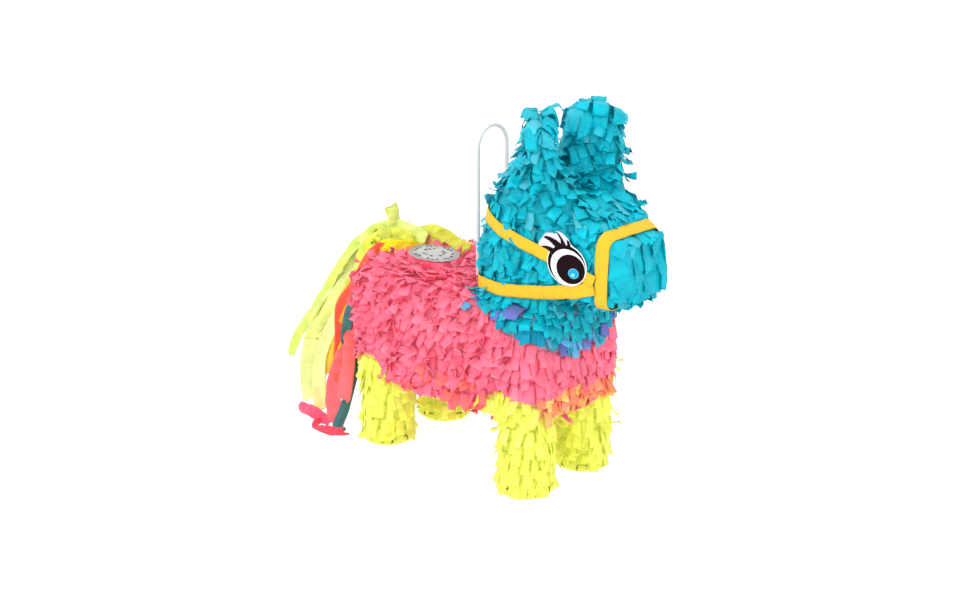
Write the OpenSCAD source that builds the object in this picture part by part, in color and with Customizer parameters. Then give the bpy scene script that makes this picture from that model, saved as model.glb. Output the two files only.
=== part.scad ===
// Donkey pinata: corrugated carton body, neck and head on four tube legs,
// covered with rows of snipped tissue, with a paper halter, printed eyes, a
// foil label over the fill flap, a cord hanging loop and a streamer tail.
// +X points to the muzzle, +Z up, z = 0 is the surface that the feet stand on.

/* [Placement] */
// Shift along X that puts the middle of the whole outline on the origin
shift_x = 15.7; // [10:0.1:26]

/* [Carton] */
// Board thickness
board = 2.5; // [2:0.5:3]
// Half length of the body carton
body_a = 120.5; // [118:0.5:121]
// Half width of the body carton
body_b = 67; // [66:0.5:68]
// Corner radius of the body carton, seen from above
body_r = 20; // [16:1:22]
// Underside of the body carton
belly_z = 86; // [84:1:88]
// Top of the body carton
back_z = 186; // [184:1:187]

/* [Fringe] */
// Depth of the tissue fringe on the sides
fringe = 7.5; // [6:0.5:8]
// Depth of the tissue fringe on the back
fringe_top = 10; // [8:1:10]
// Depth of the tissue fringe on the neck and head
fringe_head = 8; // [7:0.5:8]

/* [Legs] */
// Distance of each leg from the middle, along X
leg_x = 97; // [94:0.5:97]
// Distance of each leg from the middle, along Y
leg_y = 43.5; // [42:0.5:43.5]
// Leg tube radius
leg_r = 23.5; // [22:0.5:24]
// Leg tube wall
leg_wall = 2.5; // [2:0.5:3]
// Foot disc thickness
foot_t = 2; // [1.5:0.5:3]

/* [Head] */
// Half width of the neck carton at the nape
neck_half = 45; // [44:0.5:47]
// Half width where the cheeks fold inward
fold_half = 54; // [52:0.5:54]
// Half width at the end of the muzzle
muzzle_half = 32; // [31:0.5:34]
// Fold line of the cheeks along X
fold_x = 80; // [78:1:82]
// Paper strap width
strap_w = 13; // [11:1:15]
// Paper strap thickness
strap_t = 1.2; // [0.8:0.2:1.4]
// Eye sticker radius
eye_r = 20; // [18:1:21]

/* [Ears] */
// Ear board thickness
ear_t = 2; // [1.5:0.5:3]
// Half width of the ear board
ear_half = 22; // [20:1:23]
// Height of the centre of the rounded ear tip above the crown
ear_h = 52.5; // [46:0.5:53]
// Half width of the ear board where it stands on the crown
ear_foot = 18; // [13:1:20]
// Half depth of the ear fringe
ear_fringe = 13; // [9:1:14]
// Depth of the fringe on the legs
leg_fringe_t = 8; // [6:0.5:8]

/* [Fill flap] */
// Rear edge of the fill hole
hole_x0 = -93; // [-94:1:-92]
// Front edge of the fill hole
hole_x1 = -42; // [-43:1:-41]
// Half width of the fill hole
hole_half = 14; // [12:1:15]
// Hinge line of the fill flap along X
flap_hinge_x = -100; // [-101:1:-99]
// Height of the hinge line of the fill flap
flap_hinge_z = 197; // [197:0.5:198]
// Foil label half width
label_half = 17.5; // [16:0.5:17.5]
// Foil label length
label_len = 62; // [60:1:64]

/* [Hanging loop] */
// Place of the loop along X
loop_x = 12; // [11:1:13]
// Half distance between the loop's legs
loop_half = 21; // [20:0.5:22]
// Cord radius
cord_r = 2; // [1.5:0.25:2.25]
// Height of the loop's straight legs
loop_arch_z = 325; // [310:5:335]
// Height of the line on which the loop bends over
loop_pivot_z = 198; // [198:0.5:199]

/* [Tail] */
// Line on which the tail bends, along X
tail_x = -129; // [-131:1:-129]
// Height of that line
tail_z = 197; // [196:1:199]
// Streamer thickness as bundled
streamer_t = 2; // [1.5:0.5:3]

/* [Hidden] */
$fn = 48;

turquoise = "#00B5CC";
pink = "#FF6F91";
yellow = "#F0FF3C";
strap_c = "#F2C12E";
kraft = "#B98F62";
silver = "#C9C9C9";
big = 400;

// Outline of the neck and head carton, seen from the side (x, z), anticlockwise
muzzle_end = 189.5;
crown_z = 298;
head = [[41, back_z], [114.5, back_z], [114.5, 202], [127, 208.5], [muzzle_end, 210.5], [muzzle_end, 262.5],
        [137, 294], [128, crown_z], [76, crown_z], [60, 288], [42.5, 239.5]];
HN = len(head);

// Inward normal of an anticlockwise edge
function inward(a, b) = let (d = b - a) [-d[1], d[0]] / norm(d);
// Mitred inset of a closed outline by t (negative t makes it larger)
function inset(p, t) = [for (i = [0 : len(p) - 1]) let (
    n1 = inward(p[(i + len(p) - 1) % len(p)], p[i]),
    n2 = inward(p[i], p[(i + 1) % len(p)]))
    p[i] + (n1 + n2) * (t / (1 + n1 * n2))];
// Strip of board or fringe along edges i0 to i1 of the head outline, between two insets
module edge_strip(i0, i1, t0, t1) {
  a = inset(head, t0);
  b = inset(head, t1);
  polygon(concat([for (i = [i0 : i1 + 1]) a[i % HN]], [for (i = [i1 + 1 : -1 : i0]) b[i % HN]]));
}
// Turns a drawing in the (x, z) plane into a slab across Y
module across(half) { translate([0, half, 0]) rotate([90, 0, 0]) linear_extrude(2 * half) children(); }

// Half width of the neck and head at x, and the same line moved out by d
cheek_tilt = atan((fold_half - muzzle_half) / (muzzle_end - fold_x));
nape_x = 38;
function half_at(x) = x < fold_x
  ? neck_half + (fold_half - neck_half) * (x - nape_x) / (fold_x - nape_x)
  : fold_half - (x - fold_x) * tan(cheek_tilt);
// Plan outline of the neck and head, moved out by d (negative d goes in)
module head_plan(d) {
  f = d / cos(cheek_tilt);
  polygon([[-60, half_at(-60) + d], [fold_x, fold_half + d], [240, half_at(240) + f],
           [240, -half_at(240) - f], [fold_x, -fold_half - d], [-60, -half_at(-60) - d]]);
}
// Slab on both sides of the head between two distances from the carton's face
module side_shell(d0, d1, s) {
  intersection() {
    linear_extrude(big) difference() { head_plan(d1); head_plan(d0); }
    translate([-big / 2, s > 0 ? 0.01 : -big, 0]) cube([big * 2, big, big]);
  }
}
// Part of the head seen from the side, filled by the given polygon
module side_piece(p, d0, d1, s) { intersection() { side_shell(d0, d1, s); across(90) polygon(p); } }
// Strip piece kept inside the plan
module strip_piece(i0, i1, t0, t1, d) {
  intersection() { across(90) edge_strip(i0, i1, t0, t1); linear_extrude(big) head_plan(d); }
}
module placed() { translate([shift_x, 0, 0]) children(); }
module slab(x0, x1, y0, y1, z0, z1) { translate([x0, y0, z0]) cube([x1 - x0, y1 - y0, z1 - z0]); }

// Body outline from above, moved out by d
module body_plan(d) {
  a = body_a + d; b = body_b + d; r = body_r + d;
  union() {
    translate([-a + r, -b]) square([2 * (a - r), 2 * b]);
    translate([-a, -b + r]) square([2 * a, 2 * (b - r)]);
    for (i = [-1, 1], j = [-1, 1]) translate([i * (a - r), j * (b - r)]) circle(r);
  }
}
module body_ring(d0, d1, z0, z1) {
  translate([0, 0, z0]) linear_extrude(z1 - z0) difference() { body_plan(d1); body_plan(d0); }
}
corner_x = body_a - body_r;
wall_z0 = belly_z + board;
wall_z1 = back_z - board;

// ---- body carton ----
module flank_board(s) {
  y0 = body_b - board;
  placed() slab(-corner_x, corner_x, s > 0 ? y0 : -body_b, s > 0 ? body_b : -y0, wall_z0, wall_z1);
}
module flank_board_right() color(kraft) flank_board(-1);
module flank_board_left() color(kraft) flank_board(1);
module end_board(s) {
  placed() intersection() {
    body_ring(-board, 0, wall_z0, wall_z1);
    slab(s > 0 ? corner_x : -big, s > 0 ? big : -corner_x, -big, big, 0, big);
  }
}
module rump_board() color(kraft) end_board(-1);
module chest_board() color(kraft) end_board(1);
module fill_hole(g, z0, z1) { slab(hole_x0 - g, hole_x1 + g, -hole_half - g, hole_half + g, z0, z1); }
module cord_holes(r, z0, z1) {
  for (j = [-1, 1]) translate([loop_x, j * loop_half, z0]) cylinder(r = r, h = z1 - z0);
}
module back_board() color(kraft) placed() difference() {
  translate([0, 0, wall_z1]) linear_extrude(board) body_plan(0);
  fill_hole(0, wall_z1 - 1, back_z + 1);
  cord_holes(cord_r + 0.5, wall_z1 - 1, back_z + 1);
}
module belly_board() color(kraft) placed()
  translate([0, 0, belly_z]) linear_extrude(board) body_plan(0);

// ---- legs ----
module at_leg(i, j) { placed() translate([i * leg_x, j * leg_y, 0]) children(); }
module leg_tube() {
  translate([0, 0, foot_t]) difference() {
    cylinder(r = leg_r, h = belly_z - foot_t);
    translate([0, 0, -1]) cylinder(r = leg_r - leg_wall, h = belly_z);
  }
}
module leg_tube_front_right() color(kraft) at_leg(1, -1) leg_tube();
module leg_tube_front_left() color(kraft) at_leg(1, 1) leg_tube();
module leg_tube_rear_right() color(kraft) at_leg(-1, -1) leg_tube();
module leg_tube_rear_left() color(kraft) at_leg(-1, 1) leg_tube();
module foot_discs() color(yellow) for (i = [-1, 1], j = [-1, 1]) at_leg(i, j) cylinder(r = leg_r + 1, h = foot_t);

// ---- neck and head carton ----
module neck_side(s) {
  placed() intersection() {
    side_piece(head, -board, 0, s);
    slab(-big, fold_x, -big, big, 0, big);
  }
}
module neck_side_right() color(kraft) neck_side(-1);
module neck_side_left() color(kraft) neck_side(1);
module cheek_board(s) {
  placed() intersection() {
    side_piece(head, -board, 0, s);
    slab(fold_x, big, -big, big, 0, big);
  }
}
module cheek_board_right() color(kraft) cheek_board(-1);
module cheek_board_left() color(kraft) cheek_board(1);
module nape_board() color(kraft) placed() strip_piece(8, 10, 0, board, -board);
module crown_board() color(kraft) placed() strip_piece(7, 7, 0, board, -board);
module forehead_board() color(kraft) placed() strip_piece(5, 6, 0, board, -board);
module muzzle_end_board() color(kraft) placed() strip_piece(4, 4, 0, board, -board);
module throat_board() color(kraft) placed() strip_piece(1, 3, 0, board, -board);

// ---- ears ----
module ear_frame(s) { placed() translate([105, s * 40, crown_z]) rotate([0, 0, s * 45]) children(); }
// Ear outline standing up, with its foot narrower than its tip
module ear_shape(g, t, foot) {
  translate([0, t / 2, 0]) rotate([90, 0, 0]) linear_extrude(t) union() {
    polygon([[-foot, 0], [foot, 0], [ear_half + g, ear_h * 0.62], [ear_half + g, ear_h],
             [-ear_half - g, ear_h], [-ear_half - g, ear_h * 0.62]]);
    translate([0, ear_h]) circle(ear_half + g);
  }
}
module ear_board(s) { ear_frame(s) ear_shape(0, ear_t, ear_foot); }
module ear_board_right() color(kraft) ear_board(-1);
module ear_board_left() color(kraft) ear_board(1);
module ear_fringe_solid(s) {
  ear_frame(s) difference() {
    intersection() {
      ear_shape(6, 2 * ear_fringe, ear_foot + 6);
      slab(-big, big, -big, big, fringe_head, big);
    }
    ear_shape(0, ear_t, ear_foot);
  }
}
module ear_fringe_right() color(turquoise) ear_fringe_solid(-1);
module ear_fringe_left() color(turquoise) ear_fringe_solid(1);

// ---- body fringe ----
skin_z0 = belly_z - fringe;
skin_z1 = back_z + 4;
module flank_fringe(s) {
  placed() intersection() {
    body_ring(0, fringe, skin_z0, skin_z1);
    slab(-corner_x, corner_x, s > 0 ? 0 : -big, s > 0 ? big : 0, 0, big);
  }
}
module flank_fringe_right() color(pink) flank_fringe(-1);
module flank_fringe_left() color(pink) flank_fringe(1);
module neck_outline(d) {
  intersection() { across(90) polygon(inset(head, -d)); linear_extrude(big) head_plan(d); }
}
module end_fringe(s) {
  placed() difference() {
    intersection() {
      body_ring(0, fringe, skin_z0, skin_z1);
      slab(s > 0 ? corner_x : -big, s > 0 ? big : -corner_x, -big, big, 0, big);
    }
    neck_outline(fringe_head);
  }
}
module rump_fringe() color(pink) end_fringe(-1);
module chest_fringe() color(pink) end_fringe(1);
module back_fringe() color(pink) placed() difference() {
  translate([0, 0, back_z]) linear_extrude(fringe_top) body_plan(0);
  fill_hole(2, 0, big);
  cord_holes(cord_r + 2, 0, big);
  neck_outline(fringe_head);
}
module belly_fringe() color(pink) placed() difference() {
  translate([0, 0, skin_z0]) linear_extrude(fringe) body_plan(0);
  for (i = [-1, 1], j = [-1, 1]) translate([i * leg_x, j * leg_y, 0]) {
    cylinder(r = leg_r, h = big);
    translate([i > 0 ? 0 : -big, j > 0 ? 0 : -big, 0]) cube(big);
  }
}
module leg_fringe() {
  translate([0, 0, 3]) difference() {
    cylinder(r = leg_r + leg_fringe_t, h = skin_z0 - 3);
    translate([0, 0, -1]) cylinder(r = leg_r, h = big);
  }
}
module leg_fringe_front_right() color(yellow) at_leg(1, -1) leg_fringe();
module leg_fringe_front_left() color(yellow) at_leg(1, 1) leg_fringe();
module leg_fringe_rear_right() color(yellow) at_leg(-1, -1) leg_fringe();
module leg_fringe_rear_left() color(yellow) at_leg(-1, 1) leg_fringe();

// ---- neck and head fringe ----
collar_top = back_z + fringe_top + 1;
module above_collar() { slab(-big, big, -big, big, collar_top, big); }
module collar_fringe() color("#6A6FC0") placed() difference() {
  intersection() {
    neck_outline(fringe_head);
    slab(-big, big, -big, big, back_z, collar_top);
  }
  neck_outline(0);
  cord_holes(cord_r + 2, 0, big);
}
muzzle_x = 172;
module head_fringe(s) difference() {
  placed() intersection() {
    side_piece(inset(head, -fringe_head), 0, fringe_head, s);
    above_collar();
    slab(-big, muzzle_x, -big, big, 0, big);
  }
  ear_frame(s) translate([0, 0, -1]) ear_shape(0.5, ear_t + 1, ear_foot + 1);
}
module head_fringe_right() color(turquoise) head_fringe(-1);
module head_fringe_left() color(turquoise) head_fringe(1);
module nape_fringe() color(turquoise) placed() intersection() {
  strip_piece(8, 10, -fringe_head, 0, 0);
  above_collar();
}
module forehead_fringe() color(turquoise) difference() {
  placed() intersection() {
    strip_piece(5, 7, -fringe_head, 0, 0);
    slab(-big, muzzle_x, -big, big, 0, big);
  }
  for (s = [-1, 1]) ear_frame(s) translate([0, 0, -1]) ear_shape(0.5, ear_t + 1, ear_foot + 1);
}
module throat_strip() {
  intersection() {
    strip_piece(1, 3, -fringe_head, 0, 0);
    above_collar();
    slab(-big, muzzle_x + 1, -big, big, 0, big);
  }
}
module muzzle_fringe() color(turquoise) placed() union() {
  difference() {
    intersection() {
      neck_outline(fringe_head);
      slab(muzzle_x, big, -big, big, collar_top, big);
    }
    neck_outline(0);
  }
  throat_strip();
}

// ---- halter ----
strap_0 = fringe_head;
strap_1 = fringe_head + strap_t;
band_x0 = 174;
band_x1 = band_x0 + strap_w;
module noseband() color(strap_c) placed() intersection() {
  difference() { neck_outline(strap_1); neck_outline(strap_0); }
  slab(band_x0, band_x1, -big, big, 0, big);
}
h = strap_w / 2;
cheek_line = [[20, 206], [99, 209], [band_x0, 223.5]];
crown_line = [[20, 294], [50, 280], [73, 268.5], [98.5, 257.5], [123, 249.5], [138, 246.5], [150, 241.5]];
// Outline of a strap that follows a line of points (x, z)
function strap_outline(l) = concat([for (q = l) [q[0], q[1] - h]], [for (i = [len(l) - 1 : -1 : 0]) [l[i][0], l[i][1] + h]]);
module cheek_strap(s) {
  placed() intersection() {
    side_piece(strap_outline(cheek_line), strap_0, strap_1, s);
    across(90) polygon(inset(head, -strap_0));
  }
}
module cheek_strap_right() color(strap_c) cheek_strap(-1);
module cheek_strap_left() color(strap_c) cheek_strap(1);
module crown_strap() color(strap_c) placed() union() {
  for (s = [-1, 1]) intersection() {
    side_piece(strap_outline(crown_line), strap_0, strap_1, s);
    across(90) polygon(inset(head, -strap_1));
  }
  intersection() {
    strip_piece(8, 10, -strap_1, -strap_0, strap_1);
    slab(-big, 64, -big, big, 277, 277 + strap_w);
  }
}
module eye_sticker(s) {
  x = 148;
  placed() translate([x, s * (half_at(x) + strap_1 / cos(cheek_tilt) + 0.05), 242.5])
    rotate([0, 0, -s * cheek_tilt]) rotate([-s * 90, 0, 0]) cylinder(r = eye_r, h = 0.8);
}
module eye_sticker_right() color("#1A0A0E") eye_sticker(-1);
module eye_sticker_left() color("#1A0A0E") eye_sticker(1);

// ---- fill flap, its tissue pad and the foil label over it ----
flap_gap = 0.8;
module fill_flap() color(kraft) placed()
  slab(hole_x0 + flap_gap, hole_x1 - 1.6, -hole_half + flap_gap, hole_half - flap_gap, wall_z1, back_z);
module flap_pad() color(pink) placed()
  slab(hole_x0 - 0.4, hole_x1 - 1.6, -hole_half - 0.5, hole_half + 0.5, back_z + 0.3, flap_hinge_z - 0.7);
module fill_label() color(silver) placed() difference() {
  union() {
    for (k = [-1, 1]) translate([flap_hinge_x + label_len / 2 + k * (label_len / 2 - label_half), 0, flap_hinge_z - 0.7])
      cylinder(r = label_half, h = 0.7);
    slab(flap_hinge_x + label_half, flap_hinge_x + label_len - label_half, -label_half, label_half,
         flap_hinge_z - 0.7, flap_hinge_z);
  }
}

// ---- hanging loop ----
card_t = 3;
module loop_anchor_card() color(kraft) placed() difference() {
  slab(loop_x - 14, loop_x + 14, -loop_half - 14, loop_half + 14, wall_z1 - card_t, wall_z1);
  cord_holes(cord_r + 0.5, 0, big);
}
module loop_knots() color("white") placed()
  for (j = [-1, 1]) translate([loop_x, j * loop_half, 0]) union() {
    translate([0, 0, wall_z1 - card_t - 6]) cylinder(r = cord_r, h = loop_pivot_z - 1 - (wall_z1 - card_t - 6));
    translate([0, 0, wall_z1 - card_t - 5]) sphere(r = 5);
  }
loop_z0 = loop_pivot_z + 2.5;
// Route of the loop: up one leg, over the arch and down the other
loop_path = concat(
  [for (i = [0 : 11]) [loop_x, -loop_half, loop_z0 + (loop_arch_z - loop_z0) * i / 12]],
  [for (i = [0 : 12]) [loop_x, -loop_half * cos(i * 15), loop_arch_z + loop_half * sin(i * 15)]],
  [for (i = [11 : -1 : 0]) [loop_x, loop_half, loop_z0 + (loop_arch_z - loop_z0) * i / 12]]);
function unit(v) = v / norm(v);
// Direction of a path at point i
function heading(p, i) = unit(p[min(i + 1, len(p) - 1)] - p[max(i - 1, 0)]);
// Tube of n sides swept along a path that stays in one upright plane across Y
module tube(p, r, n) {
  pts = [for (i = [0 : len(p) - 1]) let (t = heading(p, i), u = [1, 0, 0], w = cross(t, u))
         for (k = [0 : n - 1]) p[i] + r * (cos(k * 360 / n) * u + sin(k * 360 / n) * w)];
  m = len(p);
  polyhedron(pts, concat(
    [[for (k = [0 : n - 1]) k]],
    [for (i = [0 : m - 2], k = [0 : n - 1]) [i * n + k, (i + 1) * n + k, (i + 1) * n + (k + 1) % n, i * n + (k + 1) % n]],
    [[for (k = [n - 1 : -1 : 0]) (m - 1) * n + k]]));
}
module hanging_loop() color("white") placed() tube(loop_path, cord_r, 8);

// ---- tail ----
// Point on a curve with two end points and two handles
function bez(p, t) = pow(1 - t, 3) * p[0] + 3 * t * pow(1 - t, 2) * p[1] + 3 * t * t * (1 - t) * p[2] + pow(t, 3) * p[3];
// Flat streamer swept along a curve; roll turns it about its own length
module streamer(p, w, roll0, roll1, n = 10) {
  c = [for (i = [0 : n]) bez(p, i / n)];
  pts = [for (i = [0 : n]) let (
      t = heading(c, i), a = unit(cross(t, [0.31, 0.17, 0.94])), b = cross(t, a),
      q = roll0 + (roll1 - roll0) * i / n, s = cos(q) * a + sin(q) * b, o = cross(s, t))
    each [c[i] + s * w / 2 + o * streamer_t / 2, c[i] - s * w / 2 + o * streamer_t / 2,
          c[i] - s * w / 2 - o * streamer_t / 2, c[i] + s * w / 2 - o * streamer_t / 2]];
  polyhedron(pts, concat([[3, 2, 1, 0]],
    [for (i = [0 : n - 1], k = [0 : 3]) [i * 4 + k, i * 4 + (k + 1) % 4, (i + 1) * 4 + (k + 1) % 4]],
    [for (i = [0 : n - 1], k = [0 : 3]) [i * 4 + k, (i + 1) * 4 + (k + 1) % 4, (i + 1) * 4 + k]],
    [[n * 4, n * 4 + 1, n * 4 + 2, n * 4 + 3]]));
}
core = [tail_x - 7, 0, tail_z];
module tail_core() color(yellow) placed() translate(core) sphere(r = 6);
module tail_yellow() color("#E6F58A") placed() union() {
  streamer([core, [-160, -14, 206], [-204, -40, 150], [-222, -56, 66]], 14, 0, 60);
  streamer([core, [-152, -20, 196], [-186, -56, 120], [-196, -66, 40]], 14, 30, 10);
}
module tail_golden() color("#F5D020") placed()
  streamer([core, [-150, -12, 190], [-176, -34, 110], [-184, -50, 24]], 13, 10, 70);
module tail_coral() color("#FF5A4A") placed()
  streamer([core, [-146, -22, 186], [-160, -48, 110], [-160, -62, 44]], 13, 40, 0);
module tail_pink() color("#FF6E78") placed() union() {
  streamer([core, [-150, 4, 184], [-176, -20, 60], [-214, -34, 10]], 13, 20, 90);
  streamer([[-210, -32, 11], [-232, -44, 1], [-200, -66, 6], [-156, -60, 9]], 12, 90, 90);
}
module tail_teal() color("#4F8080") placed()
  streamer([core, [-144, -2, 184], [-160, -10, 120], [-172, -16, 62]], 13, 50, 20);
module back_streamers() color("#E6F58A") placed() union() {
  streamer([[-116, 12, 199], [-100, 30, 200], [-80, 36, 198], [-56, 40, 199]], 12, 90, 90, 8);
  streamer([[-114, 14, 199], [-122, 14, 204], [-126, 13, 216], [-142, 14, 230]], 10, 90, 60, 8);
}

flank_board_right();
flank_board_left();
rump_board();
chest_board();
back_board();
belly_board();
leg_tube_front_right();
leg_tube_front_left();
leg_tube_rear_right();
leg_tube_rear_left();
foot_discs();
neck_side_right();
neck_side_left();
cheek_board_right();
cheek_board_left();
nape_board();
crown_board();
forehead_board();
muzzle_end_board();
throat_board();
ear_board_right();
ear_board_left();
flank_fringe_right();
flank_fringe_left();
rump_fringe();
chest_fringe();
back_fringe();
belly_fringe();
leg_fringe_front_right();
leg_fringe_front_left();
leg_fringe_rear_right();
leg_fringe_rear_left();
collar_fringe();
head_fringe_right();
head_fringe_left();
nape_fringe();
forehead_fringe();
muzzle_fringe();
ear_fringe_right();
ear_fringe_left();
noseband();
cheek_strap_right();
cheek_strap_left();
crown_strap();
eye_sticker_right();
eye_sticker_left();
fill_flap();
flap_pad();
fill_label();
loop_anchor_card();
loop_knots();
hanging_loop();
tail_core();
tail_yellow();
tail_golden();
tail_coral();
tail_pink();
tail_teal();
back_streamers();
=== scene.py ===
import bpy, bmesh, math
import numpy as np
from mathutils import Vector, Matrix


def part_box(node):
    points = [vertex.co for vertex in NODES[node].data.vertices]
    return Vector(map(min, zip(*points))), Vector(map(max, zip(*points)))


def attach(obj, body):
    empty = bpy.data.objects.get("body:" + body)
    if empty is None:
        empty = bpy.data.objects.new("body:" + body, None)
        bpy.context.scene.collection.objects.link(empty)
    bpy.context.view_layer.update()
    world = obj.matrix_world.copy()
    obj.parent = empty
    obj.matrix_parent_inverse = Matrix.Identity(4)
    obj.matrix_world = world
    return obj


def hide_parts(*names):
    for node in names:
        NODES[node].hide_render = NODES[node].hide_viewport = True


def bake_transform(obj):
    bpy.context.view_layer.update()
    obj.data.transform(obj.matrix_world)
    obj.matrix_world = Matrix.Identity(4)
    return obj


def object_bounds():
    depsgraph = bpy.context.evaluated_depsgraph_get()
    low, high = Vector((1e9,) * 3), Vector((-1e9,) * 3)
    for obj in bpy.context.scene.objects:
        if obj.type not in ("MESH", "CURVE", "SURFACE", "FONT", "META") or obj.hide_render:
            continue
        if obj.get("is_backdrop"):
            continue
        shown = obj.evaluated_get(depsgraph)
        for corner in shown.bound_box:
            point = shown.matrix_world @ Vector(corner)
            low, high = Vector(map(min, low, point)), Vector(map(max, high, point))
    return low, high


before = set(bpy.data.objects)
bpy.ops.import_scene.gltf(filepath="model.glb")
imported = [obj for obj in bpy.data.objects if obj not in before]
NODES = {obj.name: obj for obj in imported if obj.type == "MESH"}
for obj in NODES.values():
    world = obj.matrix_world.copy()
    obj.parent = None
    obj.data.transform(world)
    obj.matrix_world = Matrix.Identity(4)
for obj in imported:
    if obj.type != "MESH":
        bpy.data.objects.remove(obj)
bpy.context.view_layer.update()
_bl, _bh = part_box("back_board")
SX = (_bl.x + _bh.x) / 2 * 1000.0          # mm, how far the carton's middle lies from the origin
COL = bpy.context.scene.collection


# ------------------------------------------------------------------ camera and light
AZ, EL, DIST = math.radians(42.408), math.radians(18.288), 1500.0
BACK = np.array([math.sin(AZ) * math.cos(EL), -math.cos(AZ) * math.cos(EL), math.sin(EL)])
RIGHT = np.array([math.cos(AZ), math.sin(AZ), 0.0])
UP = np.cross(BACK, RIGHT)
CAM = np.array([11.56, -17.56, 170.73]) + BACK * DIST
cam_data = bpy.data.cameras.new("camera")
cam_data.lens, cam_data.sensor_width = 56.25, 36.0
cam_data.clip_start, cam_data.clip_end = 0.05, 50.0
cam = bpy.data.objects.new("camera", cam_data)
cam.matrix_world = Matrix([[RIGHT[0], UP[0], BACK[0], (CAM[0] + SX) / 1000],
                           [RIGHT[1], UP[1], BACK[1], CAM[1] / 1000],
                           [RIGHT[2], UP[2], BACK[2], CAM[2] / 1000],
                           [0, 0, 0, 1]])
COL.objects.link(cam)
bpy.context.scene.camera = cam
bpy.context.scene.view_settings.view_transform = "Standard"
bpy.context.scene.view_settings.look = "None"

world = bpy.data.worlds.new("studio")
world.use_nodes = True
world.node_tree.nodes["Background"].inputs[0].default_value = (1, 1, 1, 1)
world.node_tree.nodes["Background"].inputs[1].default_value = 1.03
bpy.context.scene.world = world


def area_light(name, loc, target, size, power, color=(1, 1, 1)):
    d = bpy.data.lights.new(name, "AREA")
    d.shape, d.size, d.energy, d.color = "DISK", size, power, color
    o = bpy.data.objects.new(name, d)
    o.location = loc
    o.rotation_mode = "QUATERNION"
    o.rotation_quaternion = (Vector(target) - Vector(loc)).to_track_quat("-Z", "Y")
    COL.objects.link(o)
    return o


area_light("key", (0.15, -1.25, 1.25), (0.02, 0, 0.18), 0.5, 9.0)
area_light("fill", (1.35, -0.1, 0.7), (0.02, 0, 0.18), 0.9, 3.0)
area_light("top", (-0.35, 0.3, 1.5), (0.0, 0, 0.18), 0.7, 3.5)


# ------------------------------------------------------------------ helpers
def W(p):
    """Millimetres in the drawing frame to metres in the row frame."""
    p = np.array(p, float)
    p[..., 0] += SX
    return p * 0.001


def lin(h):
    c = np.array([int(h[i:i + 2], 16) / 255 for i in (1, 3, 5)])
    return np.where(c <= 0.04045, c / 12.92, ((c + 0.055) / 1.055) ** 2.4)


def unit(v):
    return v / np.maximum(np.linalg.norm(v, axis=-1, keepdims=True), 1e-9)


def raw_mesh(name, co, quads, smooth=None, tris=None):
    """Mesh from numpy arrays: co (N, 3) in metres, quads (M, 4)."""
    me = bpy.data.meshes.new(name)
    co = np.asarray(co, np.float32).reshape(-1, 3)
    quads = np.asarray(quads, np.int32).reshape(-1, 4)
    tris = np.zeros((0, 3), np.int32) if tris is None else np.asarray(tris, np.int32).reshape(-1, 3)
    me.vertices.add(len(co))
    me.vertices.foreach_set("co", co.ravel())
    me.loops.add(quads.size + tris.size)
    me.loops.foreach_set("vertex_index", np.concatenate([quads.ravel(), tris.ravel()]).astype(np.int32))
    me.polygons.add(len(quads) + len(tris))
    starts = np.concatenate([np.arange(len(quads)) * 4, quads.size + np.arange(len(tris)) * 3]).astype(np.int32)
    me.polygons.foreach_set("loop_start", starts)
    if smooth is not None:
        me.polygons.foreach_set("use_smooth", np.asarray(smooth, bool))
    me.update(calc_edges=True)
    me.validate()
    return me


def new_object(name, me, mat=None, body="carcass", replaces=()):
    o = bpy.data.objects.new(name, me)
    COL.objects.link(o)
    if mat is not None:
        me.materials.append(mat)
    if body:
        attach(o, body)
    if replaces:
        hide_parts(*replaces)
    return o


def set_float(me, name, values):
    a = me.attributes.new(name, "FLOAT", "POINT")
    a.data.foreach_set("value", np.asarray(values, np.float32).ravel())


def set_color(me, name, values):
    a = me.attributes.new(name, "FLOAT_COLOR", "POINT")
    v = np.asarray(values, np.float32).reshape(-1, 3)
    a.data.foreach_set("color", np.concatenate([v, np.ones((len(v), 1), np.float32)], 1).ravel())


# ------------------------------------------------------------------ materials
def nodes_of(name):
    m = bpy.data.materials.new(name)
    m.use_nodes = True
    nt = m.node_tree
    return m, nt, nt.nodes["Principled BSDF"]


def add(nt, kind, **kw):
    n = nt.nodes.new(kind)
    for k, v in kw.items():
        setattr(n, k, v)
    return n


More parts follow.
